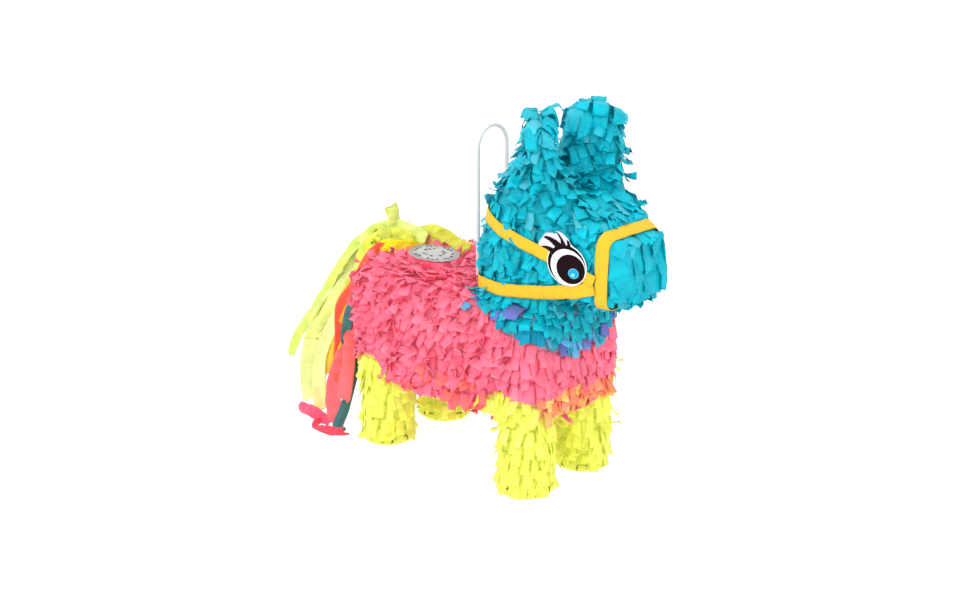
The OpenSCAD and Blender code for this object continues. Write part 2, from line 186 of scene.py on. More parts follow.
def tissue_material(name, rough=0.62, painted_glow=0.0, painted_glow_color=(1, 1, 1), soft=0.35, spec=0.12):
    """Thin dyed tissue paper: colour from the mesh, blotches, fine fibres and small creases. The tint darkens towards
    each tab's root as painted shade, and an emission glow in the tissue's own colour is painted light that lifts its
    shadows.
    """
    m, nt, p = nodes_of(name)
    tc = add(nt, "ShaderNodeTexCoord")
    at = add(nt, "ShaderNodeAttribute", attribute_name="tint")
    along = add(nt, "ShaderNodeAttribute", attribute_name="along")
    n1 = add(nt, "ShaderNodeTexNoise"); n1.inputs["Scale"].default_value = 55; n1.inputs["Detail"].default_value = 3
    n2 = add(nt, "ShaderNodeTexNoise"); n2.inputs["Scale"].default_value = 420; n2.inputs["Detail"].default_value = 4
    vor = add(nt, "ShaderNodeTexVoronoi", feature="DISTANCE_TO_EDGE"); vor.inputs["Scale"].default_value = 95
    for n in (n1, n2, vor):
        nt.links.new(tc.outputs["Object"], n.inputs["Vector"])
    r1 = add(nt, "ShaderNodeMapRange"); r1.inputs["From Min"].default_value = 0.3; r1.inputs["From Max"].default_value = 0.7
    r1.inputs["To Min"].default_value = 0.86; r1.inputs["To Max"].default_value = 1.12
    nt.links.new(n1.outputs["Fac"], r1.inputs["Value"])
    r2 = add(nt, "ShaderNodeMapRange"); r2.inputs["To Min"].default_value = 0.95; r2.inputs["To Max"].default_value = 1.05
    nt.links.new(n2.outputs["Fac"], r2.inputs["Value"])
    # painted shade: the tint darkens towards each tab's root (along = 0), where the row above overlaps it
    r3 = add(nt, "ShaderNodeMapRange"); r3.inputs["To Min"].default_value = 0.80; r3.inputs["To Max"].default_value = 1.04
    nt.links.new(along.outputs["Fac"], r3.inputs["Value"])
    m1 = add(nt, "ShaderNodeMath", operation="MULTIPLY"); nt.links.new(r1.outputs[0], m1.inputs[0]); nt.links.new(r2.outputs[0], m1.inputs[1])
    m2 = add(nt, "ShaderNodeMath", operation="MULTIPLY"); nt.links.new(m1.outputs[0], m2.inputs[0]); nt.links.new(r3.outputs[0], m2.inputs[1])
    mul = add(nt, "ShaderNodeVectorMath", operation="SCALE")
    nt.links.new(at.outputs["Color"], mul.inputs[0]); nt.links.new(m2.outputs[0], mul.inputs["Scale"])
    nt.links.new(mul.outputs[0], p.inputs["Base Color"])
    rr = add(nt, "ShaderNodeMapRange"); rr.inputs["To Min"].default_value = rough - 0.1; rr.inputs["To Max"].default_value = rough + 0.12
    nt.links.new(n1.outputs["Fac"], rr.inputs["Value"]); nt.links.new(rr.outputs[0], p.inputs["Roughness"])
    # small creases and fibre grain
    cr = add(nt, "ShaderNodeMapRange"); cr.inputs["From Max"].default_value = 0.12
    nt.links.new(vor.outputs["Distance"], cr.inputs["Value"])
    hsum = add(nt, "ShaderNodeMath", operation="MULTIPLY_ADD"); hsum.inputs[1].default_value = 0.25
    nt.links.new(n2.outputs["Fac"], hsum.inputs[0]); nt.links.new(cr.outputs[0], hsum.inputs[2])
    b = add(nt, "ShaderNodeBump"); b.inputs["Strength"].default_value = soft; b.inputs["Distance"].default_value = 0.0006
    nt.links.new(hsum.outputs[0], b.inputs["Height"]); nt.links.new(b.outputs[0], p.inputs["Normal"])
    p.inputs["Specular IOR Level"].default_value = spec
    p.inputs["Sheen Weight"].default_value = 0.0
    p.inputs["Sheen Roughness"].default_value = 0.5
    # painted light: the tissue glows in its own colour, brightening its shaded parts in place of light shining through
    # the thin paper
    if painted_glow:
        p.inputs["Emission Color"].default_value = (*painted_glow_color, 1)
        p.inputs["Emission Strength"].default_value = painted_glow
    return m


PINK, TURQ, YEL = lin("#F6738C"), lin("#00B2C6"), lin("#E9EF60")
CORAL, LILAC, LBLUE, TEAL = lin("#FF7468"), lin("#6A6FC0"), lin("#5FA9D6"), lin("#0093B4")
# the glow on these tissues is painted light that lifts their shade
MAT_PINK = tissue_material("tissue_pink", painted_glow=0.11, painted_glow_color=tuple(PINK))
MAT_TURQ = tissue_material("tissue_turquoise", rough=0.42, painted_glow=0.03, spec=0.16, painted_glow_color=tuple(TURQ))
MAT_YEL = tissue_material("tissue_yellow", painted_glow=0.16, painted_glow_color=tuple(YEL))


# ------------------------------------------------------------------ shape as distance functions (mm)
def smin(a, b, k):
    h = np.clip(0.5 + 0.5 * (b - a) / k, 0, 1)
    return b * (1 - h) + a * h - k * h * (1 - h)


def round_both(a, b, r):
    """Intersection of two slabs with an edge of radius r."""
    qa, qb = a + r, b + r
    return np.hypot(np.maximum(qa, 0), np.maximum(qb, 0)) + np.minimum(np.maximum(qa, qb), 0) - r


def sd_poly(x, y, poly):
    a, b = poly, np.roll(poly, -1, 0)
    ex, ey = (b - a)[:, 0], (b - a)[:, 1]
    wx, wy = x[:, None] - a[:, 0], y[:, None] - a[:, 1]
    t = np.clip((wx * ex + wy * ey) / (ex * ex + ey * ey), 0, 1)
    d = np.sqrt(((wx - ex * t) ** 2 + (wy - ey * t) ** 2).min(1))
    cross = (a[:, 1] > y[:, None]) != (b[:, 1] > y[:, None])
    with np.errstate(divide="ignore", invalid="ignore"):
        xi = a[:, 0] + (y[:, None] - a[:, 1]) * ex / np.where(ey == 0, 1e-9, ey)
    inside = (np.sum(cross & (x[:, None] < xi), 1) % 2) == 1
    return np.where(inside, -d, d)


def plan_body(x, y, a=124.0, b=70.5, r=24.0):
    qx, qy = np.abs(x) - a + r, np.abs(y) - b + r
    return np.hypot(np.maximum(qx, 0), np.maximum(qy, 0)) + np.minimum(np.maximum(qx, qy), 0) - r


def f_body(p):
    return round_both(plan_body(p[:, 0], p[:, 1]), np.abs(p[:, 2] - 135.0) - 55.5, 11.5)


HEAD = np.array([[41, 186], [114.5, 186], [114.5, 202], [127, 208.5], [189.5, 210.5], [189.5, 262.5],
                 [137, 294], [128, 298], [76, 298], [60, 288], [42.5, 239.5]], float)
HEAD_LOW = HEAD.copy()
HEAD_LOW[0] = [41, 150]
HEAD_LOW[1] = [116, 150]
TILT = math.atan(22.0 / 109.5)


def half_at(x):
    return np.where(x < 80, 45 + (x - 38) * 9 / 42, 54 - (x - 80) * math.tan(TILT))


def f_head(p):
    x, y, z = p[:, 0], p[:, 1], p[:, 2]
    t = np.clip((x - 142) / 30, 0, 1) * np.clip((z - 232) / 22, 0, 1)
    prof = sd_poly(x, z, HEAD_LOW) - 4.6 + 2.9 * t
    side = (np.abs(y) - half_at(x)) * math.cos(TILT) - 4.6
    side = side + np.where(y > 0, 1.0, 0.0) * np.clip((x - 145) / 30, 0, 1)
    return round_both(prof, side, 13.4 - 5.0 * np.clip((x - 145) / 30, 0, 1))


_t = np.radians(np.arange(0, 181, 15))
EAR = np.concatenate([[[-31, -20], [25, -20], [24.5, 14], [23.5, 34]],
                      np.stack([23.3 * np.cos(_t), 52 + 23 * np.sin(_t)], 1), [[-27, 36], [-30, 14]]])


def ear_local(p, s):
    c = math.sqrt(0.5)
    dx, dy = p[:, 0] - 105, p[:, 1] - s * 40
    return dx * c + dy * s * c, -dx * s * c + dy * c, p[:, 2] - 298.0


def f_ear(p, s):
    u, v, h = ear_local(p, s)
    inner = s * v * -1.0                      # grows towards the middle and the front
    d2 = sd_poly(u, h, EAR) - 1.4 - 1.2 * np.clip((h - 50) / 15, 0, 1)
    dent = 7.0 * np.exp(-(u / 13) ** 2 - ((h - 38) / 20) ** 2)
    th = np.where(inner > 0, inner + dent, -inner) - (9.8 + np.interp(h, [0, 14, 30, 46, 60], [23, 17, 7.5, 2.5, 0]))
    return np.maximum(round_both(d2, th, 8.5), np.abs(p[:, 1]) - 60.5)


def f_top(p):
    """Neck, head and ears."""
    return smin(smin(f_head(p), f_ear(p, 1), 12.0), f_ear(p, -1), 12.0)


def f_all(p):
    return smin(f_body(p), f_top(p), 8.0)


LEGS = {"front_right": (97.0, -43.5), "front_left": (97.0, 43.5), "rear_right": (-97.0, -43.5), "rear_left": (-97.0, 43.5)}


def f_leg(c, r=25.5):
    def f(p):
        return round_both(np.hypot(p[:, 0] - c[0], p[:, 1] - c[1]) - r, np.abs(p[:, 2] - 64.6) - 63.4, 6.0)
    return f


def grad(F, p, e=0.6):
    k = np.array([[1, -1, -1], [-1, -1, 1], [-1, 1, -1], [1, 1, 1]], float)
    g = sum(kk * F(p + kk * e)[:, None] for kk in k)
    return unit(g)


def rays(o, d, F, rmax, n=140):
    """Outermost crossing of each ray from inside to outside."""
    r = np.linspace(0, rmax, n)
    P = o[:, None] + d[:, None] * r[None, :, None]
    v = F(P.reshape(-1, 3)).reshape(len(o), n) < 0
    idx = n - 1 - np.argmax(v[:, ::-1], axis=1)
    lo, hi = r[idx], r[np.minimum(idx + 1, n - 1)]
    for _ in range(14):
        m = (lo + hi) / 2
        ins = F(o + d * m[:, None]) < 0
        lo, hi = np.where(ins, m, lo), np.where(ins, hi, m)
    return o + d * ((lo + hi) / 2)[:, None], v.any(1)


def ring(F, centre, z, rmax=260, n=420):
    """Closed outline around a vertical line; z is a height or a function of the angle."""
    th = np.linspace(-math.pi, math.pi, n, endpoint=False)
    zz = z(th) if callable(z) else np.full(n, float(z))
    o = np.stack([np.full(n, centre[0]), np.full(n, centre[1]), zz], 1)
    d = np.stack([np.cos(th), np.sin(th), np.zeros(n)], 1)
    P, ok = rays(o, d, F, rmax)
    return P[ok]


def snap(F, P, n=6):
    for _ in range(n):
        P = P - grad(F, P) * F(P)[:, None]
    return P


def drop(F, xy, z0=420, z1=60):
    """Points straight below xy, on the outside of the shape."""
    xy = np.asarray(xy, float)
    o = np.concatenate([xy, np.full((len(xy), 1), z1)], 1)
    d = np.tile([0, 0, 1.0], (len(xy), 1))
    P, ok = rays(o, d, F, z0 - z1, 180)
    return P[ok]


def walk(P, step, rng, closed=True, jitter=0.12):
    """Points along a line, about step apart."""
    Q = np.concatenate([P, P[:1]]) if closed else P
    s = np.concatenate([[0], np.cumsum(np.linalg.norm(np.diff(Q, axis=0), axis=1))])
    n = max(int(round(s[-1] / step)), 1)
    t = (np.arange(n) + rng.uniform(0, 1) + rng.normal(0, jitter, n)) * s[-1] / n
    t = np.mod(t, s[-1]) if closed else np.clip(t, 0, s[-1])
    return np.stack([np.interp(t, s, Q[:, i]) for i in range(3)], 1)


# ------------------------------------------------------------------ places where something lies on the tissue
PRESS = []                                     # (points, radius, height allowed over the shape beneath)


def room_over(p):
    """How far the tissue may stand off the shape beneath at each point."""
    out = np.full(len(p), 99.0)
    for pts, rad, allowed in PRESS:
        lo, hi = pts.min(0) - rad - 14, pts.max(0) + rad + 14
        m = np.where(((p > lo) & (p < hi)).all(1))[0]
        for k in range(0, len(m), 20000):
            q = m[k:k + 20000]
            d = np.sqrt(((p[q][:, None] - pts[None]) ** 2).sum(-1).min(1))
            out[q] = np.minimum(out[q], allowed + np.maximum(d - rad, 0) * 0.7)
    return out


# ------------------------------------------------------------------ snipped tissue
class Tabs:
    """Collects snipped strips: each root, direction and look becomes one thin closed strip."""

    def __init__(self, seed, nu=3, nv=6, rough=0.22):
        self.rng = np.random.default_rng(seed)
        self.g, self.tint, self.along = [], [], []
        self.nu, self.nv, self.rough = nu, nv, rough

    def add(self, root, flow, F, color, w=8.6, L=19.0, lift=3.2, wild=0.12, yaw=9.0, curl=0.9, twist=13.0,
            cup=0.035, droop=0.16, h0=0.7, vary=0.07, nv=None, lat=0.06):
        rng, nu, nv = self.rng, self.nu, self.nv
        N = len(root)
        if N == 0:
            return
        n = grad(F, root)
        d = unit(flow - (flow * n).sum(1, keepdims=True) * n)
        a = np.radians(rng.normal(0, yaw, N))[:, None]
        l = np.cross(n, d)
        d = d * np.cos(a) + l * np.sin(a)
        wild_m = rng.uniform(0, 1, N) < wild
        th0 = np.radians(rng.normal(10, 4, N) + np.where(wild_m, rng.uniform(10, 42, N), 0))
        Ls = L * np.clip(rng.normal(1, 0.13, N), 0.6, 1.35)
        ws = w * np.clip(rng.normal(1, 0.10, N), 0.7, 1.35)
        kap = np.radians(rng.normal(0.0, curl * 1.6, N) + np.where(wild_m, rng.normal(1.5, 1.6, N), 0))   # per mm
        cre = rng.uniform(0, 1, N) < 0.22
        cat, cang = rng.uniform(0.35, 0.8, N), np.radians(rng.normal(0, 34, N))
        tw0, tw1 = np.radians(rng.normal(0, 6, N)), np.radians(rng.normal(0, twist, N) + np.where(wild_m, rng.normal(0, twist, N), 0))
        cupk = rng.normal(0, cup, N)
        liftm = np.maximum(rng.normal(lift, lift * 0.35, N), 0.5)
        sl = rng.normal(0, 0.09, N)
        drift = rng.normal(0, lat, N)
        ds = Ls / nv
        c = root + n * h0
        dirv = d * np.cos(th0)[:, None] + n * np.sin(th0)[:, None]
        pts, tang, nors = [c.copy()], [dirv.copy()], [n.copy()]
        nn = n
        side = np.cross(n, d)
        for j in range(1, nv + 1):
            sj = j / nv
            rot = kap * ds + np.where(cre & (np.abs(sj - cat) < 0.5 / nv + 1e-6), cang, 0)
            lat_ax = unit(np.cross(dirv, nn))
            up = np.cross(lat_ax, dirv)
            up = np.where(((up * nn).sum(1) < 0)[:, None], -up, up)
            dirv = unit(dirv * np.cos(rot)[:, None] + up * np.sin(rot)[:, None] + side * (drift / nv)[:, None]
                        + np.array([0, 0, -1.0]) * droop / nv)
            c2 = c + dirv * ds[:, None]
            h = F(c2)
            nn = grad(F, c2)
            want = h0 + np.minimum(liftm * sj ** 1.2, 3.0 + liftm * 0.3) * 0.75
            c2 = c2 + nn * np.maximum(want - h, 0)[:, None]
            high = np.where(wild_m, 15.0, liftm * 1.7 + 1.5)
            c2 = c2 - nn * (np.maximum(h - high, 0) * 0.75)[:, None]
            dirv = unit(c2 - c)
            c = c2
            pts.append(c.copy()); tang.append(dirv.copy()); nors.append(nn.copy())
        C, T, Nn = np.stack(pts, 1), np.stack(tang, 1), np.stack(nors, 1)       # (N, nv+1, 3)
        S0 = unit(np.cross(Nn, T))
        O0 = np.cross(T, S0)
        sv = np.linspace(0, 1, nv + 1)[None, :]
        g = (tw0[:, None] + tw1[:, None] * sv)[..., None]
        S = S0 * np.cos(g) + O0 * np.sin(g)
        O = -S0 * np.sin(g) + O0 * np.cos(g)
        us = np.linspace(-0.5, 0.5, nu + 1)
        G = np.zeros((N, nu + 1, nv + 1, 3))
        wob = rng.normal(0, self.rough, (N, nu + 1, nv + 1))
        wob[:, :, 0] = 0
        width = ws[:, None] * (1 + rng.normal(0, 0.03, (N, nv + 1)))
        for i, u in enumerate(us):
            off = cupk[:, None] * ((u * ws[:, None]) ** 2 - (ws[:, None] ** 2) / 12) * (0.3 + 0.7 * sv)
            skew = (sl * u)[:, None] * ws[:, None] * 2.2 * sv
            G[:, i] = C + S * (u * width)[..., None] + O * (off + wob[:, i])[..., None] + T * skew[..., None]
        # keep every corner off the shape beneath
        flat = G.reshape(-1, 3)
        hh = F(flat)
        push = np.maximum(0.45 - hh, 0)
        bad = push > 0
        if bad.any():
            flat[bad] += grad(F, flat[bad]) * push[bad][:, None]
        if PRESS:
            over = F(flat) - room_over(flat)
            bad = over > 0
            if bad.any():
                flat[bad] -= grad(F, flat[bad]) * over[bad][:, None]
        self.g.append(flat.reshape(G.shape))
        col = np.broadcast_to(np.asarray(color, float), (N, 3)) if np.ndim(color) == 1 else np.asarray(color, float)
        k = np.exp(rng.normal(0, vary, (N, 1)))
        # painted highlight: about one tab in eight is mixed a little towards white, standing in for light shining
        # through the thin tissue
        pale = np.where(rng.uniform(0, 1, (N, 1)) < 0.12, rng.uniform(0.01, 0.07, (N, 1)), 0)
        col = col * k * (1 - pale) + pale
        self.tint.append(np.repeat(col[:, None], (nu + 1) * (nv + 1), 1))
        self.along.append(np.broadcast_to(np.tile(np.linspace(0, 1, nv + 1), nu + 1), (N, (nu + 1) * (nv + 1))))

    def mesh(self, name, thick=0.22):
        G = np.concatenate(self.g)
        N, A, B = G.shape[:3]
        du = np.gradient(G, axis=1)
        dv = np.gradient(G, axis=2)
        nr = unit(np.cross(du, dv))
        top, bot = G + nr * thick / 2, G - nr * thick / 2
        K = A * B
        co = np.concatenate([top.reshape(N, K, 3), bot.reshape(N, K, 3)], 1).reshape(-1, 3)
        co[:, 1] = np.where(np.abs(co[:, 1]) > 86, np.sign(co[:, 1]) * (86 + (np.abs(co[:, 1]) - 86) * 0.2), co[:, 1])
        co[:, 2] = np.maximum(co[:, 2], 0.25 + 0.15 * (np.arange(len(co)) % (2 * K) < K))
        idx = np.arange(K).reshape(A, B)
        q = np.stack([idx[:-1, :-1], idx[1:, :-1], idx[1:, 1:], idx[:-1, 1:]], -1).reshape(-1, 4)
        qb = q[:, ::-1] + K
        loop = np.concatenate([idx[:, 0], idx[-1, 1:], idx[-2::-1, -1], idx[0, -2:0:-1]])
        nx = np.roll(loop, -1)
        rim = np.stack([nx, loop, loop + K, nx + K], -1)
        one = np.concatenate([q, qb, rim])
        sm = np.concatenate([np.ones(len(q) * 2, bool), np.zeros(len(rim), bool)])
        faces = (one[None] + (np.arange(N) * 2 * K)[:, None, None]).reshape(-1, 4)
        me = raw_mesh(name, W(co), faces, np.tile(sm, N))
        tint = np.concatenate(self.tint)
        set_color(me, "tint", np.concatenate([tint, tint], 1).reshape(-1, 3))
        al = np.concatenate(self.along)
        set_float(me, "along", np.concatenate([al, al], 1))
        return me

    def count(self):
        return sum(len(g) for g in self.g)


def pick(P, mask):
    return P[mask]


def down(P, extra=None):
    f = np.tile([0, 0, -1.0], (len(P), 1))
    if extra is not None:
        f = f + extra
    return f


def plan_out(P):
    e = 0.5
    gx = plan_body(P[:, 0] + e, P[:, 1]) - plan_body(P[:, 0] - e, P[:, 1])
    gy = plan_body(P[:, 0], P[:, 1] + e) - plan_body(P[:, 0], P[:, 1] - e)
    return unit(np.stack([gx, gy, np.zeros(len(P))], 1))


# ------------------------------------------------------------------ smooth paper under the snipped rows
def base_surface(name, F, boxes, voxel, mat, color, body="carcass", holes=(), shell=1.2, lowz=None, iters=14):
    """A closed paper shell on the shape F: boxes rough it out, then every point is drawn onto F = 0."""
    bm = bmesh.new()
    for (x0, x1, y0, y1, z0, z1) in boxes:
        r = bmesh.ops.create_cube(bm, size=1.0)
        bmesh.ops.scale(bm, vec=(x1 - x0, y1 - y0, z1 - z0), verts=r["verts"])
        bmesh.ops.translate(bm, vec=((x0 + x1) / 2, (y0 + y1) / 2, (z0 + z1) / 2), verts=r["verts"])
    me = bpy.data.meshes.new(name)
    bm.to_mesh(me); bm.free()
    o = bpy.data.objects.new(name + "_tmp", me)
    COL.objects.link(o)
    m = o.modifiers.new("r", "REMESH"); m.mode = "VOXEL"; m.voxel_size = voxel
    dg = bpy.context.evaluated_depsgraph_get()
    ev = o.evaluated_get(dg)
    me2 = bpy.data.meshes.new_from_object(ev)
    bpy.data.objects.remove(o)
    P = np.zeros(len(me2.vertices) * 3); me2.vertices.foreach_get("co", P); P = P.reshape(-1, 3)
    for _ in range(iters):
        P -= grad(F, P) * (F(P) * 0.8)[:, None]
    rng = np.random.default_rng(5)
    ph = rng.uniform(0, 6.28, 6)
    wr = (np.sin(P[:, 0] * 0.11 + ph[0]) * np.sin(P[:, 1] * 0.13 + ph[1]) + np.sin(P[:, 2] * 0.17 + ph[2]) * np.sin(P[:, 0] * 0.09 + ph[3])) * 0.25
    P -= grad(F, P) * (0.3 + wr)[:, None]
    me2.vertices.foreach_set("co", P.astype(np.float32).ravel())
    me2.update()
    bm = bmesh.new(); bm.from_mesh(me2)
    for (x0, x1, y0, y1, z0, z1) in holes:
        for co, no in (((x0, 0, 0), (1, 0, 0)), ((x1, 0, 0), (1, 0, 0)), ((0, y0, 0), (0, 1, 0)), ((0, y1, 0), (0, 1, 0))):
            geo = [f for f in bm.faces if z0 - 8 < f.calc_center_median().z < z1 + 8]
            geo = set(geo) | {e for f in geo for e in f.edges} | {v for f in geo for v in f.verts}
            bmesh.ops.bisect_plane(bm, geom=list(geo), plane_co=co, plane_no=no, dist=1e-4)
        kill = [f for f in bm.faces if x0 < f.calc_center_median().x < x1 and y0 < f.calc_center_median().y < y1 and z0 < f.calc_center_median().z < z1]
        bmesh.ops.delete(bm, geom=kill, context="FACES")
    if shell:
        bmesh.ops.recalc_face_normals(bm, faces=bm.faces)
        outer = list(bm.faces)
        bm.verts.ensure_lookup_table()
        bmesh.ops.solidify(bm, geom=outer, thickness=shell)
    bmesh.ops.recalc_face_normals(bm, faces=bm.faces)
    bm.to_mesh(me2); bm.free()
    Q = np.zeros(len(me2.vertices) * 3); me2.vertices.foreach_get("co", Q); Q = Q.reshape(-1, 3)
    cols = color(Q) if callable(color) else np.tile(color, (len(Q), 1))
    me2.vertices.foreach_set("co", W(Q).astype(np.float32).ravel())
    me2.polygons.foreach_set("use_smooth", np.ones(len(me2.polygons), bool))
    set_color(me2, "tint", cols)
    # painted shade: along = 0.15 darkens this paper like a tab's root through the tissue material
    set_float(me2, "along", np.full(len(Q), 0.15))
    me2.update()
    me2.materials.clear()
    return new_object(name, me2, mat, body)


FILL = (-95.5, -40.0, -16.5, 16.5)             # the hole in the back's tissue that the fill flap's pad stands in


def clear_of_fill(P, g=0.0):
    return ~((P[:, 0] > FILL[0] - g) & (P[:, 0] < FILL[1] + g) & (np.abs(P[:, 1]) < FILL[3] + g) & (P[:, 2] > 170))


def skirt(x, y):
    """Height of the lower edge of the neck's turquoise, at a place seen from above."""
    side = 189 - 0.389 * (np.clip(x, 44, 122) - 48)
    front = 141 + 20 * np.clip(np.abs(y) / 62, 0, 1) ** 2
    t = np.clip((x - 112) / 12, 0, 1)
    return side * (1 - t) + front * t


# ------------------------------------------------------------------ halter lines, eyes and label: found first, so that the tissue lies flat under them
def belt(th, zfun, steps=5):
    """Line round the head: one point for each direction from the neck's middle line, at the height zfun says."""
    d = np.stack([np.cos(th), np.sin(th), np.zeros(len(th))], 1)
    z = np.full(len(th), 245.0)
    for _ in range(steps):
        o = np.stack([np.full(len(th), 80.0), np.zeros(len(th)), z], 1)
        P = rays(o, d, f_head, 140)[0]
        z = zfun(P)
    o = np.stack([np.full(len(th), 80.0), np.zeros(len(th)), z], 1)
    return rays(o, d, f_head, 140)[0]


CROWN = np.array([[40, 284], [50, 280], [73, 268.5], [98.5, 257.5], [123, 249.5], [138, 246.5], [150, 241.5], [165, 233.5], [178, 228]], float)
CHEEK = np.array([[30, 205.5], [45, 206], [77, 207], [99, 209], [119, 211.5], [153, 218], [178, 225]], float)
crown_path = belt(np.linspace(-0.40, -2 * math.pi + 0.40, 170),
                  lambda P: np.interp(P[:, 0], CROWN[:, 0], CROWN[:, 1]) + 5 * (1 - np.clip(np.abs(P[:, 1]) / 42, 0, 1) ** 2))
cheek_path = {s: belt(s * np.linspace(0.40, 2.42, 84), lambda P: np.interp(P[:, 0], CHEEK[:, 0], CHEEK[:, 1])) for s in (1, -1)}
_ph = np.linspace(0, 2 * math.pi, 121)[:-1]
nose_path = rays(np.tile([180.5, 0, 238.0], (120, 1)), np.stack([np.zeros(120), np.cos(_ph), np.sin(_ph)], 1), f_head, 90)[0]
for path in (crown_path, cheek_path[1], cheek_path[-1], nose_path):
    PRESS.append((path, 9.2, 1.6 if path is nose_path else 2.5))
CT = math.cos(TILT)
EYE_C = {s: np.array([148.8, s * (half_at(148.8) + 10.6 / CT), 243.0]) for s in (1, -1)}
for s in (1, -1):
    PRESS.append((EYE_C[s] + np.array([[-8.0 * a, s * 1.6 * a, 8.0 * b] for a in range(-2, 4) for b in range(-2, 4) if a * a + b * b < 8 or (a > 0 and b > 0)]), 10.0, 2.6))
_lx = np.linspace(-92, -46, 8)
PRESS.append((np.concatenate([np.stack([_lx, np.full(8, q), np.full(8, 194.0)], 1) for q in (-11.0, 0.0, 11.0)]), 9.0, 4.7))

# ------------------------------------------------------------------ body, pink
rngB = np.random.default_rng(11)
tR, tL, tC, tU, tT, tV = Tabs(21), Tabs(22), Tabs(23), Tabs(24), Tabs(25), Tabs(26)   # right, left, chest, rump, back, belly


def leg_zone(P):
    """Height up to which the legs' yellow climbs over the carton, at each point."""
    x, y = P[:, 0], np.abs(P[:, 1])
    out = np.zeros(len(P))
    near = np.abs(np.abs(x) - 97)
    side = (y > 52)
    out = np.where(side & (x > 0), 108 - 0.0105 * near ** 2, out)
    out = np.where(side & (x <= 0), 101 - 0.0125 * near ** 2, out)
    end = (np.abs(x) > 112)
    out = np.where(end & (y <= 52), 84.0, out)
    return out


def body_split(P):
    """Which piece a body root belongs to."""
    front, rear = P[:, 0] > 104, P[:, 0] < -104
    return {"chest": front, "rump": rear, "right": ~front & ~rear & (P[:, 1] < 0), "left": ~front & ~rear & (P[:, 1] >= 0)}


PIECE = {"chest": tC, "rump": tU, "right": tR, "left": tL}
ORANGE = lin("#FF8E62")
CHEST = {172.5: (20, 0), 163: (17, 0), 153.5: (18, 0), 144: (17, 0), 134.5: (17, 0), 125: (16, 0), 115.5: (12, 0), 106: (13, 2), 100: (15, 2)}
FLANK = (97, 106, 115.5, 125, 134.5, 144, 153.5, 163, 172.5, 181.5)
for zr in sorted(set(FLANK) | set(CHEST)):
    P = walk(ring(f_body, (0, 0), zr, 200), 8.0, rngB)
    P[:, 2] += rngB.normal(0, 2.6, len(P))
    P = snap(f_body, P, 2)
    keep = (P[:, 2] - 17 > leg_zone(P) - np.where(P[:, 0] > 104, 16, 11)) & ~((P[:, 0] > 40) & (P[:, 2] > skirt(P[:, 0], P[:, 1]) + 4))
    P = P[keep]
    f = down(P)
    for k, m in body_split(P).items():
        if k == "chest":
            if zr in CHEST:
                L, c = CHEST[zr]
                mix = rngB.uniform(0, 1, (m.sum(), 1))
                pal = PINK if c == 0 else np.where(mix < 0.8, ORANGE, YEL * 0.5 + ORANGE * 0.5) if c == 2 else np.where(mix < 0.6, CORAL, PINK)
                PIECE[k].add(P[m], f[m], f_all, pal, L=L, w=9.6, lift=2.6, wild=0.05, yaw=7, twist=9, curl=0.8)
        elif zr in FLANK:
            f = f + 0.35 * rngB.normal(0, 1, (len(P), 3)) * [1, 0, 0]
            low = zr < 108
            mix = rngB.uniform(0, 1, (m.sum(), 1))
            pal = np.where(mix < 0.28, CORAL, PINK) if low else PINK
            PIECE[k].add(P[m], f[m], f_all, pal, L=14.0, w=9.8, lift=4.4, wild=0.32, yaw=23, twist=22, curl=1.7, lat=0.12)
# shoulder and back rows, laid in rings that run round the back
for d_in in (2, 12, 23, 34, 45, 56, 65.5):
    th = np.linspace(-math.pi, math.pi, 500, endpoint=False)
    o = np.stack([np.zeros(500), np.zeros(500), np.full(500, 140.0)], 1)
    dd = np.stack([np.cos(th), np.sin(th), np.zeros(500)], 1)
    G = lambda p, q=d_in: plan_body(p[:, 0], p[:, 1]) + q
    L0 = rays(o, dd, G, 200)[0]
    P = walk(L0, 8.2, rngB)
    xy = P[:, :2] + rngB.normal(0, 1.2, (len(P), 2))
    xy = xy[plan_body(xy[:, 0], xy[:, 1]) < -1.0]
    P = drop(f_body, xy, 220, 140)
    keep = clear_of_fill(P, 0.0) & ~((P[:, 0] > 20) & (f_head(P) < 5)) & ~((P[:, 0] > 40) & (P[:, 2] > skirt(P[:, 0], P[:, 1]) + 4))
    P = P[keep]
    f = plan_out(P) * 1.0 + np.array([0, 0, -0.5]) + 0.3 * rngB.normal(0, 1, (len(P), 3)) * [1, 1, 0]
    rear = P[:, 0] < -104
    tT.add(P[~rear], f[~rear], f_all, PINK, L=15.0, w=9.2, lift=4.4, wild=0.26, yaw=24, twist=20, curl=1.7, lat=0.1)
    tU.add(P[rear], f[rear], f_all, PINK, L=15.0, w=9.2, lift=4.2, wild=0.22, yaw=20, twist=18, curl=1.5)
# belly
for d_in in (8, 20, 32, 44, 56):
    th = np.linspace(-math.pi, math.pi, 500, endpoint=False)
    o = np.stack([np.zeros(500), np.zeros(500), np.full(500, 140.0)], 1)
    dd = np.stack([np.cos(th), np.sin(th), np.zeros(500)], 1)
    L0 = rays(o, dd, lambda p, q=d_in: plan_body(p[:, 0], p[:, 1]) + q, 200)[0]
    P = walk(L0, 9.5, rngB)
    P = np.stack([P[:, 0], P[:, 1], np.full(len(P), 79.6)], 1)
    far = np.min([np.hypot(P[:, 0] - c[0], P[:, 1] - c[1]) for c in LEGS.values()], 0)
    P = P[far > 27]
    tV.add(P, plan_out(P), f_body, PINK, L=15.0, lift=2.0, wild=0.06, yaw=14, droop=0.05)

